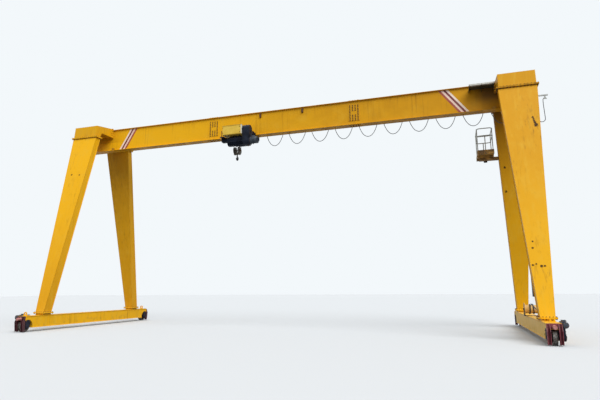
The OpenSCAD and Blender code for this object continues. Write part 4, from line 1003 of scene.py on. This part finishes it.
def gearEdge(inset, x, steps=20):
    edge = []
    arcsAt = ((crown, lean - half, lean + half), (bowl, lean + half, lean - half + 2 * math.pi))
    for (y, z, r), first, last in arcsAt:
        for k in range(steps + 1):
            edge.append(onRing((x, y, z), alongX, r - inset, first + (last - first) * k / steps))
    return edge


gearFace = hoist["gearRight"] + 0.01
body.plate(gearEdge(0.013, hoist["gearRight"] - 0.001), (0.011, 0, 0))
for spot in gearEdge(0.032, gearFace, 7):
    body.bolt(spot, alongX, 0.017, 1)
body.turned([(0, 0.06), (0.014, 0.06), (0.018, 0.055), (0.018, 0.03), (0.024, 0.026), (0.024, 0)],
            (gearFace, -0.54, 7.35), alongX, 28)
for x in (-1.30, -1.215, -1.13):  # cast ribs over the crown
    body.tube([onRing((x, crown[0], crown[1]), alongX, 0.167, math.radians(4 + 172 * k / 24))
               for k in range(25)], 0.006, 6)
body.turned([(0, 0.022), (0.012, 0.022), (0.014, 0.014), (0.03, 0.014), (0.034, 0.009)],
            (-1.25, -0.55, 7.573), (0, 0, 1), 6, 1)
body.turned([(0, 0.024), (0.03, 0.024), (0.034, 0.014), (0.055, 0.014), (0.058, 0.01)],
            (-1.17, -0.5, 6.812), down, 6, 1)
fanGrille(body, (hoist["motorEnd"] + 0.003, hoist["y"], hoist["motorZ"]), alongX, 0.112)
body.block((-1.037, -0.563, 7.149), (-0.903, -0.437, 7.16), 0.003)
for x in (-1.02, -0.92):
    for y in (-0.55, -0.45):
        body.bolt((x, y, 7.16), (0, 0, 1), 0.01, 1)
body.block((-0.985, -0.54, 6.825), (-0.965, -0.46, 6.862), 0.002)
body.rod((-0.97, -0.56, 6.842), (-0.93, -0.64, 6.79), 0.006, 8, 0.001)
body.rod((-0.97, -0.637, 7.08), (-0.97, -0.655, 7.08), 0.013, 14, 0.003, 1)
# limit switch box on the drum's left end
body.block((-2.262, -0.588, 6.992), (-2.249, -0.422, 7.138), 0.003)
for y in (-0.572, -0.438):
    for z in (7.008, 7.122):
        body.bolt((-2.262, y, z), (-1, 0, 0), 0.01, 1)
body.block((-2.262, -0.76, 7.14), (-2.1, -0.48, 7.158), 0.003)
body.rod((-2.21, -0.7, 7.155), (-2.21, -0.7, 7.41), 0.011, 14, 0.003, 2)
body.rod((-2.21, -0.7, 7.35), (-2.15, -0.7, 7.35), 0.008, 12, 0.001, 2)
body.turned([(0, 0.018), (0.016, 0.018), (0.02, 0.012)], (-2.21, -0.7, 7.158), (0, 0, 1), 6, 1)
body.piece("hoist_fittings", "trolley", "dark_paint", [darkEnamel, boltSteel, blackRubber])

door = Shape()
door.tube([(x, -0.7505, z) for x, z in ((-2.118, 7.247), (-1.402, 7.247), (-1.402, 7.538), (-2.118, 7.538))],
          0.003, 8, closed=True)
door.block((-2.16, -0.757, 7.574), (-1.36, -0.385, 7.584), 0.003)
door.block((-1.3645, -0.7502, 7.214), (-1.3605, -0.66, 7.572), 0.001, 1)
door.block((-1.3905, -0.7525, 7.225), (-1.366, -0.735, 7.566), 0.001, 1)
for z in (7.28, 7.5):
    door.rod((-2.136, -0.753, z - 0.03), (-2.136, -0.753, z + 0.03), 0.007, 12, 0.002, 2)
    door.turned([(0, 0.016), (0.006, 0.016), (0.008, 0.013)], (-1.43, -0.75, z), (0, -1, 0), 18, 2)
    door.block((-1.434, -0.764, z - 0.011), (-1.426, -0.757, z + 0.011), 0.001, 2)
for k in range(6):
    z = 7.28 + k * 0.02
    door.plate([(-1.365, -0.6, z + 0.01), (-1.365, -0.46, z + 0.01), (-1.357, -0.46, z), (-1.357, -0.6, z)],
               (0, 0, -0.0015))
for x in (-2.05, -1.95, -1.7, -1.6, -1.5):
    door.turned([(0, 0.017), (0.008, 0.017), (0.01, 0.013), (0.024, 0.012), (0.03, 0.008)],
                (x, -0.66, 7.2102), down, 6, 3)
door.piece("control_box_fittings", "trolley", "box_paint", [boxYellow, paleStrip, boltSteel, blackRubber])

weight = Shape()
for x, out in ((-2.01, -1), (-1.51, 1)):
    for y in (0.29, 0.45):
        for z in (7.145, 7.31):
            weight.nutOn((x, y, z), (out, 0, 0), [(0, 0.027), (0.004, 0.027), (0.005, 0.023)],
                         [(0.004, 0.021), (0.02, 0.021), (0.023, 0.016)], 18)
for k in range(1, 4):  # joints between the stacked slabs
    z = 7.09 + 0.0675 * k
    weight.block((-2.0112, 0.2398, z - 0.0015), (-1.5088, 0.5022, z + 0.0015), 0.0005, 1)
for x in (-1.9, -1.62):  # lifting handles
    weight.tube([(x + 0.026 * math.cos(a), 0.37, 7.36 + 0.03 * math.sin(a))
                 for a in [math.pi * k / 12 for k in range(13)]], 0.006, 10, 1)
weight.piece("counterweight_fittings", "trolley", "dark_paint", [darkEnamel, boltSteel])
print("trolley dressed")

# hook block
block = {"pinEnd": 0.135, "cheek": 0.127}
cheeks = Shape()
for side in sides:
    out = (side, 0, 0)
    cheeks.nutOn((rope["x"] + side * block["pinEnd"], 0, rope["bottom"]), out,
                 [(-0.0085, 0.04), (-0.004, 0.04), (-0.002, 0.036)],
                 [(-0.003, 0.033), (0.012, 0.033), (0.016, 0.026)], 24)
    for y, z in ((-0.03, -0.148), (0.03, -0.148), (-0.042, 0.05), (0.042, 0.05)):
        cheeks.bolt((rope["x"] + side * block["cheek"], y, rope["bottom"] + z), out, 0.014, 1)
cheeks.turned([(0, 0.044), (0.006, 0.044), (0.01, 0.038)], (rope["x"], 0, rope["bottom"] - 0.097), (0, 0, 1),
              24, 1)
cheeks.piece("hook_block_nuts", "hook_block", "block_paint", [blockPaint, boltSteel])

latch = Shape()
hinge = (-0.026, 6.532)  # y and z of the latch's pin
latch.rod((-1.878, *hinge), (-1.842, *hinge), 0.006, 12, 0.001, 1)
latch.plate([(-1.873, -0.029, 6.532), (-1.847, -0.029, 6.532), (-1.849, -0.056, 6.478),
             (-1.871, -0.056, 6.478)], (0, 0.003, 0.0014))
for x in (-1.8745, -1.8455):  # three turns of spring
    latch.tube([onRing((x + 0.0012 * k / 8, *hinge), alongX, 0.0085, math.pi * k / 4) for k in range(25)],
               0.0011, 6, 1)
latch.turned([(0, 0.034), (0.003, 0.034), (0.005, 0.03)], (rope["x"], 0, 6.7042), (0, 0, 1), 20, 1)
latch.piece("hook_latch", "hook", "hook_steel", [zinc, boltSteel])
print("hook dressed")


# stage: a pale floor, a pale sky and soft light
def seenDirectly(finish):
    # 1 for rays from the camera and in reflections, 0 for the light on the object
    rays = finish.tree.nodes.new("ShaderNodeLightPath")
    camera, glossy, through = [Wire(finish, rays.outputs[f"Is {kind} Ray"])
                               for kind in ("Camera", "Glossy", "Transmission")]
    return (camera + glossy + through).rise(0.0, 1.0)


stage = {"half": 110.0, "seen": tone("d0d4d7"), "bounce": tone("666768"), "sky": tone("f3f8fb"),
         "horizon": 0.4, "zenith": 0.8, "sunFrom": (0.5, -0.5, 0.71), "sun": 2.7,
         "sunAngle": math.radians(50)}
floorMesh = bpy.data.meshes.new("floor")
h = stage["half"]
floorMesh.from_pydata([(-h, -h, 0), (h, -h, 0), (h, h, 0), (-h, h, 0)], [], [(0, 1, 2, 3)])
floor = bpy.data.objects.new("floor", floorMesh)
bpy.context.scene.collection.objects.link(floor)
floorFinish = Finish("floor", 0.9)
floorFinish.colour(floorFinish.mix(seenDirectly(floorFinish), stage["bounce"], stage["seen"]))
floorMesh.materials.append(floorFinish.material)

world = bpy.data.worlds.new("sky")
world.use_nodes = True
bpy.context.scene.world = world


class Sky(Finish):
    def __init__(self, tree):
        self.tree = tree


sky = Sky(world.node_tree)
back = sky.tree.nodes["Background"]
height = sky.axes(sky.node("ShaderNodeTexCoord", {}, {}, "Generated"))[2]
seen = seenDirectly(sky)
glow = stage["horizon"] + (stage["zenith"] - stage["horizon"]) * height.rise(0.0, 1.0)
sky.feed(back.inputs["Color"], sky.mix(seen, (1.0, 1.0, 1.0, 1.0), stage["sky"]))
sky.feed(back.inputs["Strength"], glow * (1 - seen) + seen)

sunData = bpy.data.lights.new("soft sun", "SUN")
sunData.energy = stage["sun"]
sunData.angle = stage["sunAngle"]
sun = bpy.data.objects.new("soft sun", sunData)
sun.rotation_euler = Vector(stage["sunFrom"]).to_track_quat("Z", "Y").to_euler()
bpy.context.scene.collection.objects.link(sun)
print("stage and light set")
